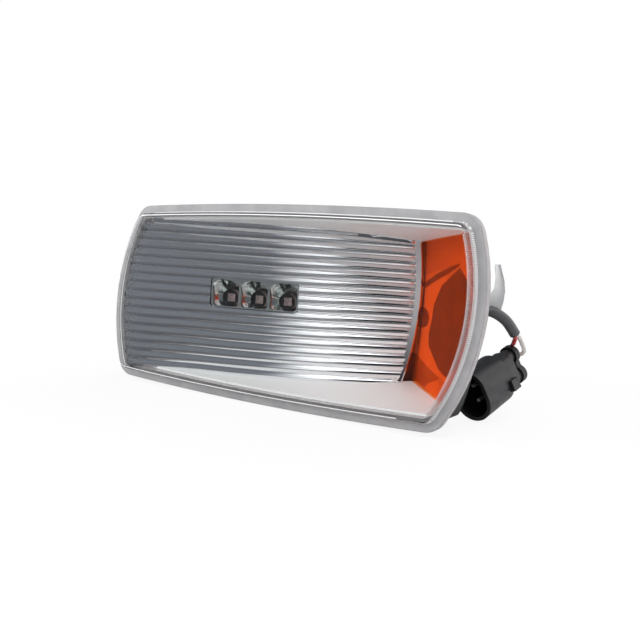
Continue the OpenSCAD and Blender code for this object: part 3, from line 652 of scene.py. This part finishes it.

# %% [markdown]
# The real lens is milky at its flange and walls, and along its bowed ends a row of fine ribs shows as
# white ticks, which are glints. Ribs that small could be modelled, but they would flicker in a render,
# so every other step of the crown's foot gets the white finish, a painted highlight. At the left end the
# walls stay clear, because the chrome mirrors them there, and the real chrome shows no milky band.

# %% Lens finishes by place
END_START, SIDE_START = 62 * MM, 20 * MM
CLEAR_END = -70 * MM
UPRIGHT, SLOPING = 0.8, 0.97
RIBS_FRONT, RIBS_BACK = -1.0, -0.05
GLINT_FRONT, GLINT_BACK = -3.95, -3.7
GLINT_RIGHT, GLINT_TOP = 60 * MM, 33 * MM
FLANGE_FACE, FLANGE_REAR, FLANGE_SIDE = -0.1, 3.3, 0.3
bow_points = outline(FLANGE_WIDTH)[CORNER_STEPS + 1:CORNER_STEPS + END_STEPS]
bow_start = angle_of(bow_points[0] - END_CENTRE)
bow_step = (angle_of(bow_points[-1] - END_CENTRE) - bow_start) / (len(bow_points) - 1)


def deeper(c, depth):
    """True behind a depth in millimetres."""
    return c.y > place(0, depth, 0).y


def on_wall(c, n):
    """True on the upright walls, apart from those of the left end."""
    return abs(n.y) < UPRIGHT and c.x > CLEAR_END


def on_glint(c, n):
    """True on the narrow line of light round the crown's edge, which fades at the lower right."""
    in_line = deeper(c, GLINT_FRONT) and not deeper(c, GLINT_BACK) and abs(n.y) < SLOPING
    return in_line and (c.x < GLINT_RIGHT or c.z > GLINT_TOP)


def ticked(c):
    """True all along the long edges, and on every other step along the bowed ends."""
    if abs(c.x) < END_START:
        return abs(c.z) > SIDE_START
    side = math.copysign(1.0, c.x)
    turn = math.atan2(side * c.z / MM - END_CENTRE.y, side * c.x / MM - END_CENTRE.x)
    return math.floor((turn - bow_start) / bow_step) % 2 == 0


material_by_place(lens, 1, lambda c, n: deeper(c, -CROWN_HEIGHT + CROWN_EDGE) and on_wall(c, n))
material_by_place(lens, 2, lambda c, n: deeper(c, FLANGE_FACE) and n.y < -0.5)
material_by_place(lens, 2, lambda c, n: deeper(c, FLANGE_REAR) and n.y > 0.5)
material_by_place(lens, 3, lambda c, n: deeper(c, FLANGE_SIDE) and on_wall(c, n))
# Painted highlights: white ticks along the ribs, and the line of light round the crown's edge.
material_by_place(lens, 4, lambda c, n: deeper(c, RIBS_FRONT) and not deeper(c, RIBS_BACK) and ticked(c))
material_by_place(lens, 4, on_glint)
print("frosted faces:", sum(face.material_index == 4 for face in lens.data.polygons))

# %% [markdown]
# The reflector
#
# The tray is one chromed moulding. Its back is a panel with horizontal flutes, which curves away
# from the lens until it meets a leaning divider. One solid could be carved into this shape, but its
# three parts follow different curves. So the panel is a grid whose height follows a row of arcs, the
# walls are extruded from the barrel outline, and the divider is a narrow bar.

# %% Reflector values
TRAY_INSET, MOUTH_INSET, LIP_INSET = 4.5, 5.5, 3.3
TRAY_FRONT, TRAY_BACK, TRAY_MARGIN = 3.8, 53.0, 1.0
MOUTH_TOP, MOUTH_BOTTOM = 34.5, 33.3
TOP_DRAFT, BOTTOM_DRAFT = 5.5, 6.0
DRAFT_SPAN, DRAFT_FULL = 56.5, 30.0
PANEL_RADIUS, PANEL_START, PANEL_DEPTH = 215.0, -80.0, 7.5
PANEL_THICKNESS = 1.8
REACH_LOW, REACH_HIGH = -20.0, 170.0
FLUTES, FLUTE_PITCH, FLUTE_HEIGHT = 18, 3.75, 0.75
DIVIDER_X, DIVIDER_RADIUS, DIVIDER_WIDTH, DIVIDER_DEPTH, DIVIDER_BACK = 44.6, 127.0, 3.0, 43.0, 53.5
WINDOW_LENGTH, WINDOW_HEIGHT, WINDOW_X, WINDOW_Z = 40.6, 13.2, -21.0, 2.6
WINDOW_TURN, WINDOW_ROUND = math.radians(16.2), 2.0
WALL_FRONT, WALL_SLOPE = 84.15, 0.7


def panel_depth(x):
    """How deep the panel's arc lies at a place along the lamp."""
    reach = min(max(x - PANEL_START, REACH_LOW), REACH_HIGH)
    return PANEL_DEPTH + PANEL_RADIUS - math.sqrt(PANEL_RADIUS ** 2 - reach ** 2)


def divider_x(z, inset=0.0):
    """Where the divider's right face stands at a height, or a face that far to its left."""
    return DIVIDER_X - DIVIDER_RADIUS + math.sqrt((DIVIDER_RADIUS - inset) ** 2 - (z - END_SHIFT) ** 2)


def tray_depth(x):
    """How deep the tray's walls run at a place along the lamp."""
    if x < DIVIDER_X - TRAY_MARGIN:
        return panel_depth(x) + TRAY_MARGIN
    return min(TRAY_BACK, (WALL_FRONT - x) / WALL_SLOPE - TRAY_MARGIN)


print("flutes:", FLUTES, "panel depth at the divider:", round(panel_depth(DIVIDER_X), 1), "mm")

# %% [markdown]
# The tray's top and bottom walls lean in with depth, so that the moulding could leave its tool. From
# the front they are wedges that get narrower towards the lens's left end. They could be a thickened
# strip, but a closed row of rings round the whole outline gives walls and lip in one piece.

# %% Tray walls
WALL_STEPS = 6
SHORTEST_WALL = 0.8
LIP_EASE, LIP_THICKNESS = 0.3, 1.0


def drafted(p, depth):
    """A point of a wall, drawn in at the top and bottom with depth."""
    fall = TOP_DRAFT if p.y > 0 else BOTTOM_DRAFT
    drawn_in = math.copysign(fall * depth / DRAFT_SPAN, p.y) * min(abs(p.y) / DRAFT_FULL, 1.0)
    return place(p.x, depth, p.y - drawn_in)


def tray_ring(inset, share):
    """A ring of the tray's wall, at a share of the way from its front to its back."""
    ring = []
    for p in outline(inset):
        back = max(tray_depth(p.x), TRAY_FRONT + SHORTEST_WALL)
        ring.append(drafted(p, TRAY_FRONT + (back - TRAY_FRONT) * share))
    return ring


tray = start_ring("reflector_tray", outline_ring(TRAY_FRONT, LIP_INSET))
shares = [i / WALL_STEPS for i in range(WALL_STEPS + 1)]
rings = [outline_ring(TRAY_FRONT, MOUTH_INSET - LIP_EASE)]
rings += [tray_ring(MOUTH_INSET, s) for s in shares]
rings += [tray_ring(TRAY_INSET, s) for s in reversed(shares)][:-1]
rings += [outline_ring(TRAY_FRONT + LIP_THICKNESS, inset) for inset in (TRAY_INSET, LIP_INSET)]
extrude_rings(tray, rings, closed=True)
print("tray faces:", len(tray.data.polygons))

# %% [markdown]
# The flutes are rounded ridges. In the photograph they spread a little towards the left end, so each
# ridge keeps its share of the panel's height there. Each could be a bent rod, but one grid makes them
# smooth and closed: every point is set by a formula, and the panel's top and bottom end just inside
# the tray's walls.

# %% Fluted panel
PANEL_COLUMNS, RIDGE_STEPS = 72, 12
PANEL_END_MARGIN = 0.1
PANEL_TUCK, PANEL_EDGE = 0.35, 0.001
LEAN_LOW, LEAN_HIGH = -0.2, 0.7
LEFT_RISE, LEFT_RISE_START, LEFT_RISE_END = 6.5, -42.0, -82.0
SPREAD_LEFT, SPREAD_RIGHT = 1.035, 0.975
flute_radius = ((FLUTE_PITCH / 2) ** 2 + FLUTE_HEIGHT ** 2) / (2 * FLUTE_HEIGHT)
panel_top = FLUTES * FLUTE_PITCH / 2 + (MOUTH_TOP - MOUTH_BOTTOM) / 2
wall_at = MOUTH_INSET - PANEL_END_MARGIN


def left_edge(z):
    """Where the panel's left end lies at a height."""
    return -END_CENTRE.x - math.sqrt((END_RADIUS - wall_at) ** 2 - (z + END_SHIFT) ** 2)


def left_rise(x):
    """How far the panel comes forward at its left end, to meet the lip there."""
    share = min(max((x - LEFT_RISE_START) / (LEFT_RISE_END - LEFT_RISE_START), 0.0), 1.0)
    return LEFT_RISE * share * share * (3 - 2 * share)


def panel_point(s, t):
    """The panel's surface: s runs from the left wall to the divider and t from the bottom up."""
    middle = panel_top - FLUTES * FLUTE_PITCH / 2
    z = middle + (t - 0.5) * FLUTES * FLUTE_PITCH * (SPREAD_LEFT + (SPREAD_RIGHT - SPREAD_LEFT) * s)
    across = (t * FLUTES) % 1.0 - 0.5
    ridge = math.sqrt(flute_radius ** 2 - (across * FLUTE_PITCH) ** 2) - flute_radius + FLUTE_HEIGHT
    x = left_edge(z) + s * (divider_x(z, DIVIDER_WIDTH / 2) - left_edge(z))
    depth = panel_depth(x) - left_rise(x)
    limit = HEIGHT / 2 - wall_at - x * x / (2 * EDGE_RADIUS)
    low = BOTTOM_DRAFT * depth / DRAFT_SPAN - limit - PANEL_TUCK
    high = limit + PANEL_TUCK - TOP_DRAFT * depth / DRAFT_SPAN
    if t < PANEL_EDGE:
        z = low
    if t > 1 - PANEL_EDGE:
        z = high
    lean = math.asin(min(max((x - PANEL_START) / PANEL_RADIUS, LEAN_LOW), LEAN_HIGH))
    return place(x + ridge * math.sin(lean), depth - ridge * math.cos(lean), min(max(z, low), high))


panel = grid_sheet("reflector_panel", PANEL_COLUMNS, FLUTES * RIDGE_STEPS, panel_point, PANEL_THICKNESS)
print("panel faces:", len(panel.data.polygons))

# %% [markdown]
# The divider is a bar 3 mm wide whose faces run straight back, so from the front it is a thin curved
# line. A cube could be bent to it, but its curve is known. It is drawn as one section, with its front
# edges eased, and extruded along its curve.

# %% Divider
DIVIDER_STEPS, DIVIDER_EASE, DIVIDER_TOP_GAP = 40, 0.35, 0.5
DIVIDER_LOW, DIVIDER_HIGH = -MOUTH_BOTTOM, MOUTH_TOP - DIVIDER_TOP_GAP


def divider_section(z):
    """The bar's outline at a height, from its left face round its front to its right face."""
    left_x, right_x = divider_x(z, DIVIDER_WIDTH), divider_x(z)
    return [place(x, depth, z) for x, depth in (
        (left_x, DIVIDER_BACK), (left_x, DIVIDER_DEPTH + DIVIDER_EASE),
        (left_x + DIVIDER_EASE, DIVIDER_DEPTH), (right_x - DIVIDER_EASE, DIVIDER_DEPTH),
        (right_x, DIVIDER_DEPTH + DIVIDER_EASE), (right_x, DIVIDER_BACK))]


divider_heights = [DIVIDER_LOW + (DIVIDER_HIGH - DIVIDER_LOW) * i / DIVIDER_STEPS
                   for i in range(DIVIDER_STEPS + 1)]
divider = start_ring("reflector_divider", divider_section(divider_heights[0]))
extrude_rings(divider, [divider_section(z) for z in divider_heights[1:]])
print("divider faces:", len(divider.data.polygons))

# %% [markdown]
# The panel has a window with rounded corners for the three cells, and the divider a round hole for
# the side light. Both go straight through, so each is cut with a boolean modifier by a simple shape
# that stands where the hole is.

# %% Holes in the reflector
CUTTER_REACH, CUTTER_STEPS, CUTTER_SIDES = 8.0, 8, 64
SIDE_HOLE_RADIUS, SIDE_HOLE_DEPTH, BOWL_Z, SIDE_HOLE_REACH = 3.5, 49.0, -1.8, 20


def cut(piece, cutter):
    """Takes one closed shape out of another."""
    bpy.ops.object.select_all(action="DESELECT")
    bpy.context.view_layer.objects.active = piece
    piece.select_set(True)
    hole = piece.modifiers.new("hole", "BOOLEAN")
    hole.operation = "DIFFERENCE"
    hole.solver = "EXACT"
    hole.object = cutter
    bpy.ops.object.modifier_apply(modifier=hole.name)
    bpy.data.objects.remove(cutter, do_unlink=True)


def window_point(u, v, w):
    """A point along the panel, into the lamp and up, from the middle of the window."""
    depth = panel_depth(WINDOW_X) + u * math.sin(WINDOW_TURN) + v * math.cos(WINDOW_TURN)
    return place(WINDOW_X + u * math.cos(WINDOW_TURN) - v * math.sin(WINDOW_TURN), depth, WINDOW_Z + w)


def window_ring(depth):
    """Points of the window's rounded rectangle, at a depth behind the panel."""
    points = []
    flat_u, flat_w = WINDOW_LENGTH / 2 - WINDOW_ROUND, WINDOW_HEIGHT / 2 - WINDOW_ROUND
    for side_u, side_w, start in ((1, -1, -90), (1, 1, 0), (-1, 1, 90), (-1, -1, 180)):
        for i in range(CUTTER_STEPS + 1):
            a = math.radians(start + 90 * i / CUTTER_STEPS)
            points.append(window_point(side_u * flat_u + WINDOW_ROUND * math.cos(a), depth,
                                       side_w * flat_w + WINDOW_ROUND * math.sin(a)))
    return points


window_cutter = start_ring("window_cutter", window_ring(-CUTTER_REACH))
extrude_rings(window_cutter, [window_ring(CUTTER_REACH)])
cut(panel, window_cutter)
bpy.ops.mesh.primitive_cylinder_add(
    vertices=CUTTER_SIDES, radius=SIDE_HOLE_RADIUS * MM, depth=SIDE_HOLE_REACH * MM,
    location=place(DIVIDER_X, SIDE_HOLE_DEPTH, BOWL_Z), rotation=(0.0, math.pi / 2, 0.0))
cut(divider, bpy.context.object)
print("faces with holes:", len(panel.data.polygons), len(divider.data.polygons))

# %% [markdown]
# Walls, panel and divider are one moulding, so they are joined into one piece. Most of it is chrome.
# The top and bottom walls and the lip are near-white satin, a painted reflection of their chrome, and
# the divider's front is a grey painted reflection. A mask could be painted, but each of these faces is
# known by its place and the way it looks.

# %% Reflector
WALL_LEVEL, WALL_HEIGHT = 0.95, 27 * MM
FRONT_FACING, SAME_PLACE = -0.99, 1e-5
reflector = merge([tray, panel, divider], "reflector_moulding")
smooth_and_ride(reflector, "chromed_plastic", chrome, wall_painted_reflection, divider_painted_reflection, angle=35.0,
                nodes=("reflector",))
# The walls, the lip and the divider's front get their painted reflections here.
material_by_place(
    reflector, 1, lambda c, n: n.z * c.z < 0 and abs(n.z) > WALL_LEVEL and abs(c.z) > WALL_HEIGHT)
for index, front in ((1, TRAY_FRONT), (2, DIVIDER_DEPTH)):
    front_y = place(0, front, 0).y
    material_by_place(reflector, index, lambda c, n: n.y < FRONT_FACING and abs(c.y - front_y) < SAME_PLACE)
print("reflector faces:", len(reflector.data.polygons))

# %% [markdown]
# The end chamber
#
# Behind the amber sheet lies a chamber with an upper land, a slanting fin, a bowl lit through a hole
# in the divider, and a lower step. It could be carved in full depth, but the sheet hides how deep each
# part lies. So its lining is a grid close behind the sheet, which sinks only slightly where the bowl
# and the step are, and the parts show as light, dusky and dark fields. A field is a polygon, an oval
# or a band on the sheet, given by how far along it and how high its points are.

# %% Chamber values
FILTER_X, FILTER_FRONT, FILTER_GAP = 79.5, 4.6, 1.7
FILTER_TURN = math.atan2(DIVIDER_DEPTH - FILTER_FRONT, FILTER_X - DIVIDER_X)
LINING_WALL, LINING_GAP, LINING_LENGTH, LINING_END_GAP = 0.8, 0.1, 53.0, 0.6
LINING_TOP, LINING_BOTTOM = 33.0, -32.6
RELIEF_SHARE = 0.12
STEP_SINK, STEP_FALL, BOWL_SINK, BOWL_DEPTH = 0.5, 0.16, 0.35, 2.6
SHEET_SHIFT = 0.6
FIN = [(-2.6, 12.2), (12.2, 16.6), (25.3, 19.4), (37.4, 21.3),
       (37.6, 20.4), (25.8, 17.1), (12.8, 14.0), (-0.2, 10.6)]
LAND_LINE = [(-9.0, 17.2), (-5.0, 17.9), (6.5, 20.2), (24.7, 22.2), (41.9, 23.1), (55.0, 23.3)]
DARK_END = [(37.7, 19.7), (19.0, 12.3), (11.3, 4.4), (10.7, -0.8), (7.9, -7.6), (9.0, -12.3),
            (22.8, -19.8), (32.1, -21.4), (41.0, -16.0), (48.0, -4.0), (50.0, 6.0), (46.0, 15.0)]
STEP_LINE = [(-30.0, -12.0), (-13.9, -15.2), (10.8, -20.2), (34.1, -23.4), (55.0, -25.0)]
LOW_DARK = [(-32.0, -12.6), (-13.9, -15.8), (10.8, -20.9), (26.0, -23.0),
            (12.0, -27.0), (-2.0, -36.0), (-34.0, -36.0)]
HOLE_MIDDLE, HOLE_HALF_WIDTH, HOLE_HALF_HEIGHT = (-1.6, -1.7), 8.5, 4.2
EDGE_BAND, LAND_DROP, BRIGHT_END = 1.2, 3, 24
print("the sheet turns", round(math.degrees(FILTER_TURN), 1), "degrees")

# %% [markdown]
# The lining's points are worked out on the sheet, from the divider to the lens's end, so the lining
# fits the sheet if it is moved. It sinks most in the middle of the bowl, and below the step it falls
# back evenly.

# %% Chamber lining
LINING_COLUMNS, LINING_ROWS = 130, 150


def line_at(line, u):
    """The second value of a line's points, read at any first value."""
    for (u0, z0), (u1, z1) in zip(line, line[1:]):
        if u <= u1:
            return z0 + (z1 - z0) * (u - u0) / (u1 - u0)
    return line[-1][1]


def lining_relief(u, z):
    """How far the lining would lie behind the land at full depth."""
    step, land = line_at(STEP_LINE, u), line_at(LAND_LINE, u)
    if z > land:
        return 0.0
    if z < step:
        return STEP_SINK + STEP_FALL * (step - z)
    middle, half = (land + step) / 2, (land - step) / 2
    return BOWL_SINK + BOWL_DEPTH * (1 - ((z - middle) / half) ** 2)


def lining_point(s, t):
    """The lining's surface: s runs from the divider to the lens's end and t from the bottom up."""
    z = LINING_BOTTOM + (LINING_TOP - LINING_BOTTOM) * t
    x_left = divider_x(z) - DIVIDER_X + LINING_GAP - FILTER_GAP * math.sin(FILTER_TURN)
    end_radius = END_RADIUS - MOUTH_INSET - LINING_END_GAP
    x_right = END_CENTRE.x + math.sqrt(end_radius ** 2 - (z - END_SHIFT) ** 2) - DIVIDER_X
    u_left = x_left / math.cos(FILTER_TURN)
    u_right = min(x_right / math.cos(FILTER_TURN), LINING_LENGTH)
    u = u_left + (u_right - u_left) * s
    back = FILTER_GAP + RELIEF_SHARE * lining_relief(u, z)
    return place(DIVIDER_X + u * math.cos(FILTER_TURN) + back * math.sin(FILTER_TURN),
                 DIVIDER_DEPTH - u * math.sin(FILTER_TURN) + back * math.cos(FILTER_TURN), z)


lining = grid_sheet("chamber_lining", LINING_COLUMNS, LINING_ROWS, lining_point, LINING_WALL)
print("lining faces:", len(lining.data.polygons))

# %% [markdown]
# Each face of the lining is looked up on the sheet to find its field. A face is inside a polygon if a
# ray from it crosses the polygon's edge an odd number of times. A painted picture could do the same,
# but it would need an image file, and its edges would be less sharp.

# %% Chamber fields


def inside(shape, u, z):
    """True where a point lies inside a polygon."""
    hit = False
    for (u0, z0), (u1, z1) in zip(shape, shape[1:] + shape[:1]):
        if (z0 > z) != (z1 > z) and u < u0 + (u1 - u0) * (z - z0) / (z1 - z0):
            hit = not hit
    return hit


def lining_place(c):
    """The place of a face along the sheet and up, in millimetres."""
    x, depth = c.x / MM - DIVIDER_X, c.y / MM + LAMP_DEPTH - DIVIDER_DEPTH
    return x * math.cos(FILTER_TURN) - depth * math.sin(FILTER_TURN) + SHEET_SHIFT, c.z / MM


def in_shade(c):
    """True in the side light's hole, on the fin and in the bowl's dark end, which are painted shade."""
    u, z = lining_place(c)
    across, along = (u - HOLE_MIDDLE[0]) / HOLE_HALF_WIDTH, (z - HOLE_MIDDLE[1]) / HOLE_HALF_HEIGHT
    return across ** 2 + along ** 2 < 1 or inside(FIN, u, z) or inside(DARK_END, u, z)


def in_painted_dusk(c):
    """True on the lower step's left part, which is painted dusky shade."""
    return inside(LOW_DARK, *lining_place(c))


def in_painted_light(c):
    """True along the step's upper edge, and in the bowl beside the divider, where light is painted."""
    u, z = lining_place(c)
    step = line_at(STEP_LINE, u)
    return step < z < step + EDGE_BAND or z < line_at(LAND_LINE, u) - LAND_DROP and u < BRIGHT_END


smooth_and_ride(lining, "chromed_plastic", chamber_mid, chamber_bright, chamber_shade, chamber_dusk,
                nodes=("side_reflector",))
for index, in_field in ((1, in_painted_light), (2, in_shade), (3, in_painted_dusk)):
    material_by_place(lining, index, lambda c, n: in_field(c))
print("faces in the light and dark fields:", sum(face.material_index > 0 for face in lining.data.polygons))

# %% [markdown]
# The sleeve
#
# The sleeve is a soft tube over both wires. It could be a curve with a bevel, but it is hollow, and
# its bore shows at its ends. So it starts as a circle at its first end, and each ring is extruded
# along the lead, out over the outside and back through the bore.

# %% Sleeve
SLEEVE_RADIUS, SLEEVE_BORE = 2.2, 1.95
SLEEVE_START, SLEEVE_START_SHARE = 4, 0.35
SLEEVE_SIDES, SLEEVE_STEPS = 28, 6
ASKEW = Vector((0.5, -0.76, 0.41))


def lead_curve(points, steps):
    """Points on a smooth curve through the given ones."""
    fine = []
    for i in range(len(points) - 1):
        before = points[max(i - 1, 0)]
        after = points[min(i + 2, len(points) - 1)]
        a, b = points[i], points[i + 1]
        for k in range(steps):
            t = k / steps
            fine.append(0.5 * ((2 * a) + (b - before) * t + (2 * before - 5 * a + 4 * b - after) * t ** 2
                               + (3 * a - before - 3 * b + after) * t ** 3))
    return fine + [points[-1]]


def tube_ring(path, i, radius, sides):
    """A ring round a path, square to it."""
    along = (path[min(i + 1, len(path) - 1)] - path[max(i - 1, 0)]).normalized()
    u = along.cross(ASKEW).normalized()
    v = along.cross(u)
    return [place(*(path[i] + radius * (math.cos(a) * u + math.sin(a) * v)))
            for a in (2 * math.pi * k / sides for k in range(sides))]


sleeve_first = LEAD_POINTS[SLEEVE_START - 1].lerp(LEAD_POINTS[SLEEVE_START], SLEEVE_START_SHARE)
sleeve_path = lead_curve([sleeve_first] + LEAD_POINTS[SLEEVE_START:], SLEEVE_STEPS)
outer = [tube_ring(sleeve_path, i, SLEEVE_RADIUS, SLEEVE_SIDES) for i in range(len(sleeve_path))]
bore = [tube_ring(sleeve_path, i, SLEEVE_BORE, SLEEVE_SIDES) for i in reversed(range(len(sleeve_path)))]
sleeve = start_ring("sleeve_tube", outer[0])
extrude_rings(sleeve, outer[1:] + bore, closed=True)
smooth_and_ride(sleeve, "sleeve_rubber", sleeve_grey, nodes=("lead_sleeve",))
print("sleeve faces:", len(sleeve.data.polygons))

# %% [markdown]
# The label
#
# The label is a strip of film folded round the wires, whose free end stands up and curls. It could be
# a flat plane that is bent, but its edges are seen against the backdrop. So it is a grid between two
# edges read off the photograph, tucked behind the sleeve below, and curling back above.

# %% Label
LABEL_LEFT = [(1.0, 68.8), (8.6, 69.7), (12.0, 71.8), (16.5, 72.0), (22.0, 71.1)]
LABEL_RIGHT = [(1.0, 73.8), (4.1, 75.3), (7.5, 76.2), (11.2, 76.5), (15.5, 75.8), (22.0, 73.3)]
LABEL_COLUMNS, LABEL_ROWS = 8, 40
LABEL_LOW, LABEL_HIGH, LABEL_DEPTH, LABEL_FILM = 1.0, 22.0, 52.4, 0.25
LABEL_TUCK, LABEL_TUCK_END, LABEL_BELLY, LABEL_CURL = 1.3, 0.4, 0.7, 1.5


def label_point(s, t):
    """The strip's surface: s across it and t from the wires up to its free end."""
    z = LABEL_LOW + (LABEL_HIGH - LABEL_LOW) * t
    x = line_at(LABEL_LEFT, z) * (1 - s) + line_at(LABEL_RIGHT, z) * s
    tuck = LABEL_TUCK * max(1 - t / LABEL_TUCK_END, 0.0)
    return place(x, LABEL_DEPTH + tuck + LABEL_BELLY * math.sin(math.pi * s) + LABEL_CURL * t * t, z)


label = grid_sheet("label_strip", LABEL_COLUMNS, LABEL_ROWS, label_point, LABEL_FILM)
smooth_and_ride(label, "label_film", label_white, nodes=("label_flag",))
print("label faces:", len(label.data.polygons))

# %% [markdown]
# Wire lengths
#
# Nothing of the lead is put away, so each wire's length is measured along its own route.

# %% [markdown]
# Finishes of the solids that stay
#
# The other pieces have their true shape in the frame. They could be modelled again, but nothing
# would be gained, so they keep their solids and get their finish.

# %% Solids that stay
FINISH_OF = {
    "housing": black_plastic, "vent_plug": vent_grey, "lead_grommet": soft_black,
    "insert_left": brass, "insert_right": brass,
    "cell_reflector": cell_chrome, "amber_filter": amber_clear,
    "led_board": board_black, "led_1": light_resin, "led_2": light_resin, "led_3": light_resin,
    "side_led_board": board_black, "side_led": amber_resin,
    "board_screw_left": zinc_steel, "board_screw_right": zinc_steel,
    "regulator": chip_black, "capacitor": can_metal, "diode": chip_black,
    "resistor_left": chip_black, "resistor_right": chip_black,
    "connector_housing": plug_black, "connector_collar": collar_black,
    "wire_seal_upper": seal_brown, "wire_seal_lower": seal_brown,
    "terminal_upper": tin, "terminal_lower": tin}
for name, material in FINISH_OF.items():
    solid = bpy.data.objects[name]
    solid.data.materials.clear()
    solid.data.materials.append(material)
print("solids finished:", len(FINISH_OF))

# %% [markdown]
# The floor in the chrome
#
# The photograph was taken on plain white, but its chrome doesn't show white all over. What it mirrors
# of the table gets dim towards the left, and the needles at the right need a dark patch at the front
# right. A full model of the room could do this. Here the floor's colour changes with its place, and
# only for rays that come from a mirror, which is quicker and leaves the lamp's light alone.

# %% Floor
FLOOR_HEIGHT, FLOOR_SIZE = -0.0402, 8.0
FLOOR_COLOUR = (0.85, 0.85, 0.85)
DIM_FLOOR = (0.11, 0.113, 0.122)
DIM_START, DIM_END = 0.14, -0.02
NEAR_BLACK = (0.02, 0.02, 0.024)
DARK_PATCH, PATCH_EDGE = (0.34, -0.24, 0.0), (0.27, 0.35)


def away_from(owner, where, spot, edge, interpolation="LINEAR"):
    """0 within a round patch and 1 outside it, with a soft edge."""
    apart = node(owner, "ShaderNodeVectorMath", {1: spot}, operation="DISTANCE")
    join(owner, where, apart.inputs[0])
    return value_range(owner, apart.outputs["Value"], *edge, interpolation=interpolation)


bpy.ops.object.select_all(action="DESELECT")
bpy.ops.mesh.primitive_plane_add(size=FLOOR_SIZE, location=(0, 0, FLOOR_HEIGHT))
floor = bpy.context.object
floor.name = "floor"
floor_white = finish("floor_white", FLOOR_COLOUR, roughness=0.6)
paths = node(floor_white, "ShaderNodeLightPath")
on_floor = node(floor_white, "ShaderNodeTexCoord").outputs["Object"]
leftward = value_range(floor_white, along_axis(floor_white, "Object", "X"), DIM_START, DIM_END)
dimmed = arithmetic(floor_white, "MULTIPLY", leftward, paths.outputs["Is Glossy Ray"])
floor_tone = colour_mix(floor_white, dimmed, FLOOR_COLOUR, DIM_FLOOR)
no_mirror = arithmetic(floor_white, "SUBTRACT", 1.0, paths.outputs["Is Glossy Ray"])
off_patch = away_from(floor_white, on_floor, DARK_PATCH, PATCH_EDGE)
plain = arithmetic(floor_white, "MAXIMUM", off_patch, no_mirror)
floor_tone = colour_mix(floor_white, plain, NEAR_BLACK, floor_tone)
join(floor_white, floor_tone, shader_of(floor_white).inputs["Base Color"])
floor.data.materials.append(floor_white)
print("floor nodes:", len(floor_white.node_tree.nodes))

# %% [markdown]
# The camera has to see white without more light on the lamp. So a camera ray gets a share of plain
# white glow from the floor. The share is a little lower near the lamp, which keeps a faint shadow
# there, and full further off, so no edge of the floor shows.

# %% White for the camera
FLOOR_SHARE_NEAR, FLOOR_SHARE_FAR = 0.9, 1.0
FADE_START, FADE_END = 0.12, 0.5
far = node(floor_white, "ShaderNodeVectorMath", operation="LENGTH")
join(floor_white, on_floor, far.inputs[0])
white_share = value_range(floor_white, far.outputs["Value"], FADE_START, FADE_END,
                          FLOOR_SHARE_NEAR, FLOOR_SHARE_FAR)
seen_white = arithmetic(floor_white, "MULTIPLY", paths.outputs["Is Camera Ray"], white_share)
glow = node(floor_white, "ShaderNodeEmission", {"Strength": 1.0})
shader_mix(floor_white, seen_white, shader_of(floor_white).outputs["BSDF"], glow.outputs["Emission"])
print("floor nodes with the glow:", len(floor_white.node_tree.nodes))

# %% [markdown]
# The room
#
# Chrome shows whatever stands round it. The photograph's panel is an even blue grey at its left,
# where it faces the dim side of the room, and bright with dark needles at its right, where it faces
# the lit side. Walls and cards could stand round the lamp, but the world can do it without any. It
# mixes four colours by direction: dim at the left, bright at the right, a brighter box high up at the
# front right, and a dark spot low beside the camera. The camera itself sees white.

# %% World
DIM, BRIGHT, WHITE = (0.2, 0.21, 0.235), (1.3, 1.3, 1.32), (1.0, 1.0, 1.0)
DIM_SIDE, BRIGHT_SIDE = -0.08, 0.3
HIGH_BOX, HIGH_EDGE, HIGH_BRIGHT = (0.45, -0.5, 0.74), (0.25, 0.6), (2.5, 2.5, 2.5)
CAMERA_SPOT, SPOT_EDGE = (0.883, -0.469, 0.0), (0.66, 0.8)
world = bpy.data.worlds.new("studio_room")
bpy.context.scene.world = world
world.use_nodes = True
towards = node(world, "ShaderNodeTexCoord").outputs["Generated"]
to_right = value_range(world, along_axis(world, "Generated", "X"), DIM_SIDE, BRIGHT_SIDE,
                       interpolation="SMOOTHSTEP")
room = colour_mix(world, to_right, DIM, BRIGHT)
for spot, edge, colour in ((HIGH_BOX, HIGH_EDGE, HIGH_BRIGHT), (CAMERA_SPOT, SPOT_EDGE, NEAR_BLACK)):
    room = colour_mix(world, away_from(world, towards, spot, edge, "SMOOTHSTEP"), colour, room)
seen_straight = node(world, "ShaderNodeLightPath").outputs["Is Camera Ray"]
backdrop = world.node_tree.nodes["Background"]
join(world, colour_mix(world, seen_straight, room, WHITE), backdrop.inputs["Color"])
backdrop.inputs["Strength"].default_value = 1.0
print("world nodes:", len(world.node_tree.nodes))

# %% [markdown]
# The lamps
#
# Four soft boxes light the lamp at a plain level: a key from above, a fill from the right, a strong
# one from the left for the near-white walls that are a painted reflection, and one from behind. They
# are kept out of mirrors, because the room's colours already make the chrome's reflections.

# %% Lamps
LIT_POINT = place(0, 20, 0)


def soft_box(name, width, height, power, azimuth, elevation, distance):
    """An area light that looks at the lamp from a side, and doesn't show in the chrome."""
    light = bpy.data.lights.new(name, "AREA")
    light.shape = "RECTANGLE"
    light.size, light.size_y = width, height
    light.energy = power
    lamp = bpy.data.objects.new(name, light)
    bpy.context.scene.collection.objects.link(lamp)
    a, e = math.radians(azimuth), math.radians(elevation)
    spot = Vector((math.sin(a) * math.cos(e), -math.cos(a) * math.cos(e), math.sin(e))) * distance
    lamp.location = spot + LIT_POINT
    lamp.rotation_euler = (-spot).to_track_quat("-Z", "Y").to_euler()
    lamp.visible_glossy = False


soft_box("key_box", 0.8, 0.6, 3.2, 25, 50, 1.1)
soft_box("fill_box", 0.5, 0.9, 1.8, 95, 15, 1.2)
soft_box("left_box", 0.8, 0.6, 11.0, -40, 15, 1.2)
soft_box("back_box", 0.8, 0.5, 4.0, 180, 50, 1.2)
bpy.context.scene.view_settings.view_transform = "Standard"
print("lamps:", len(bpy.data.lights))
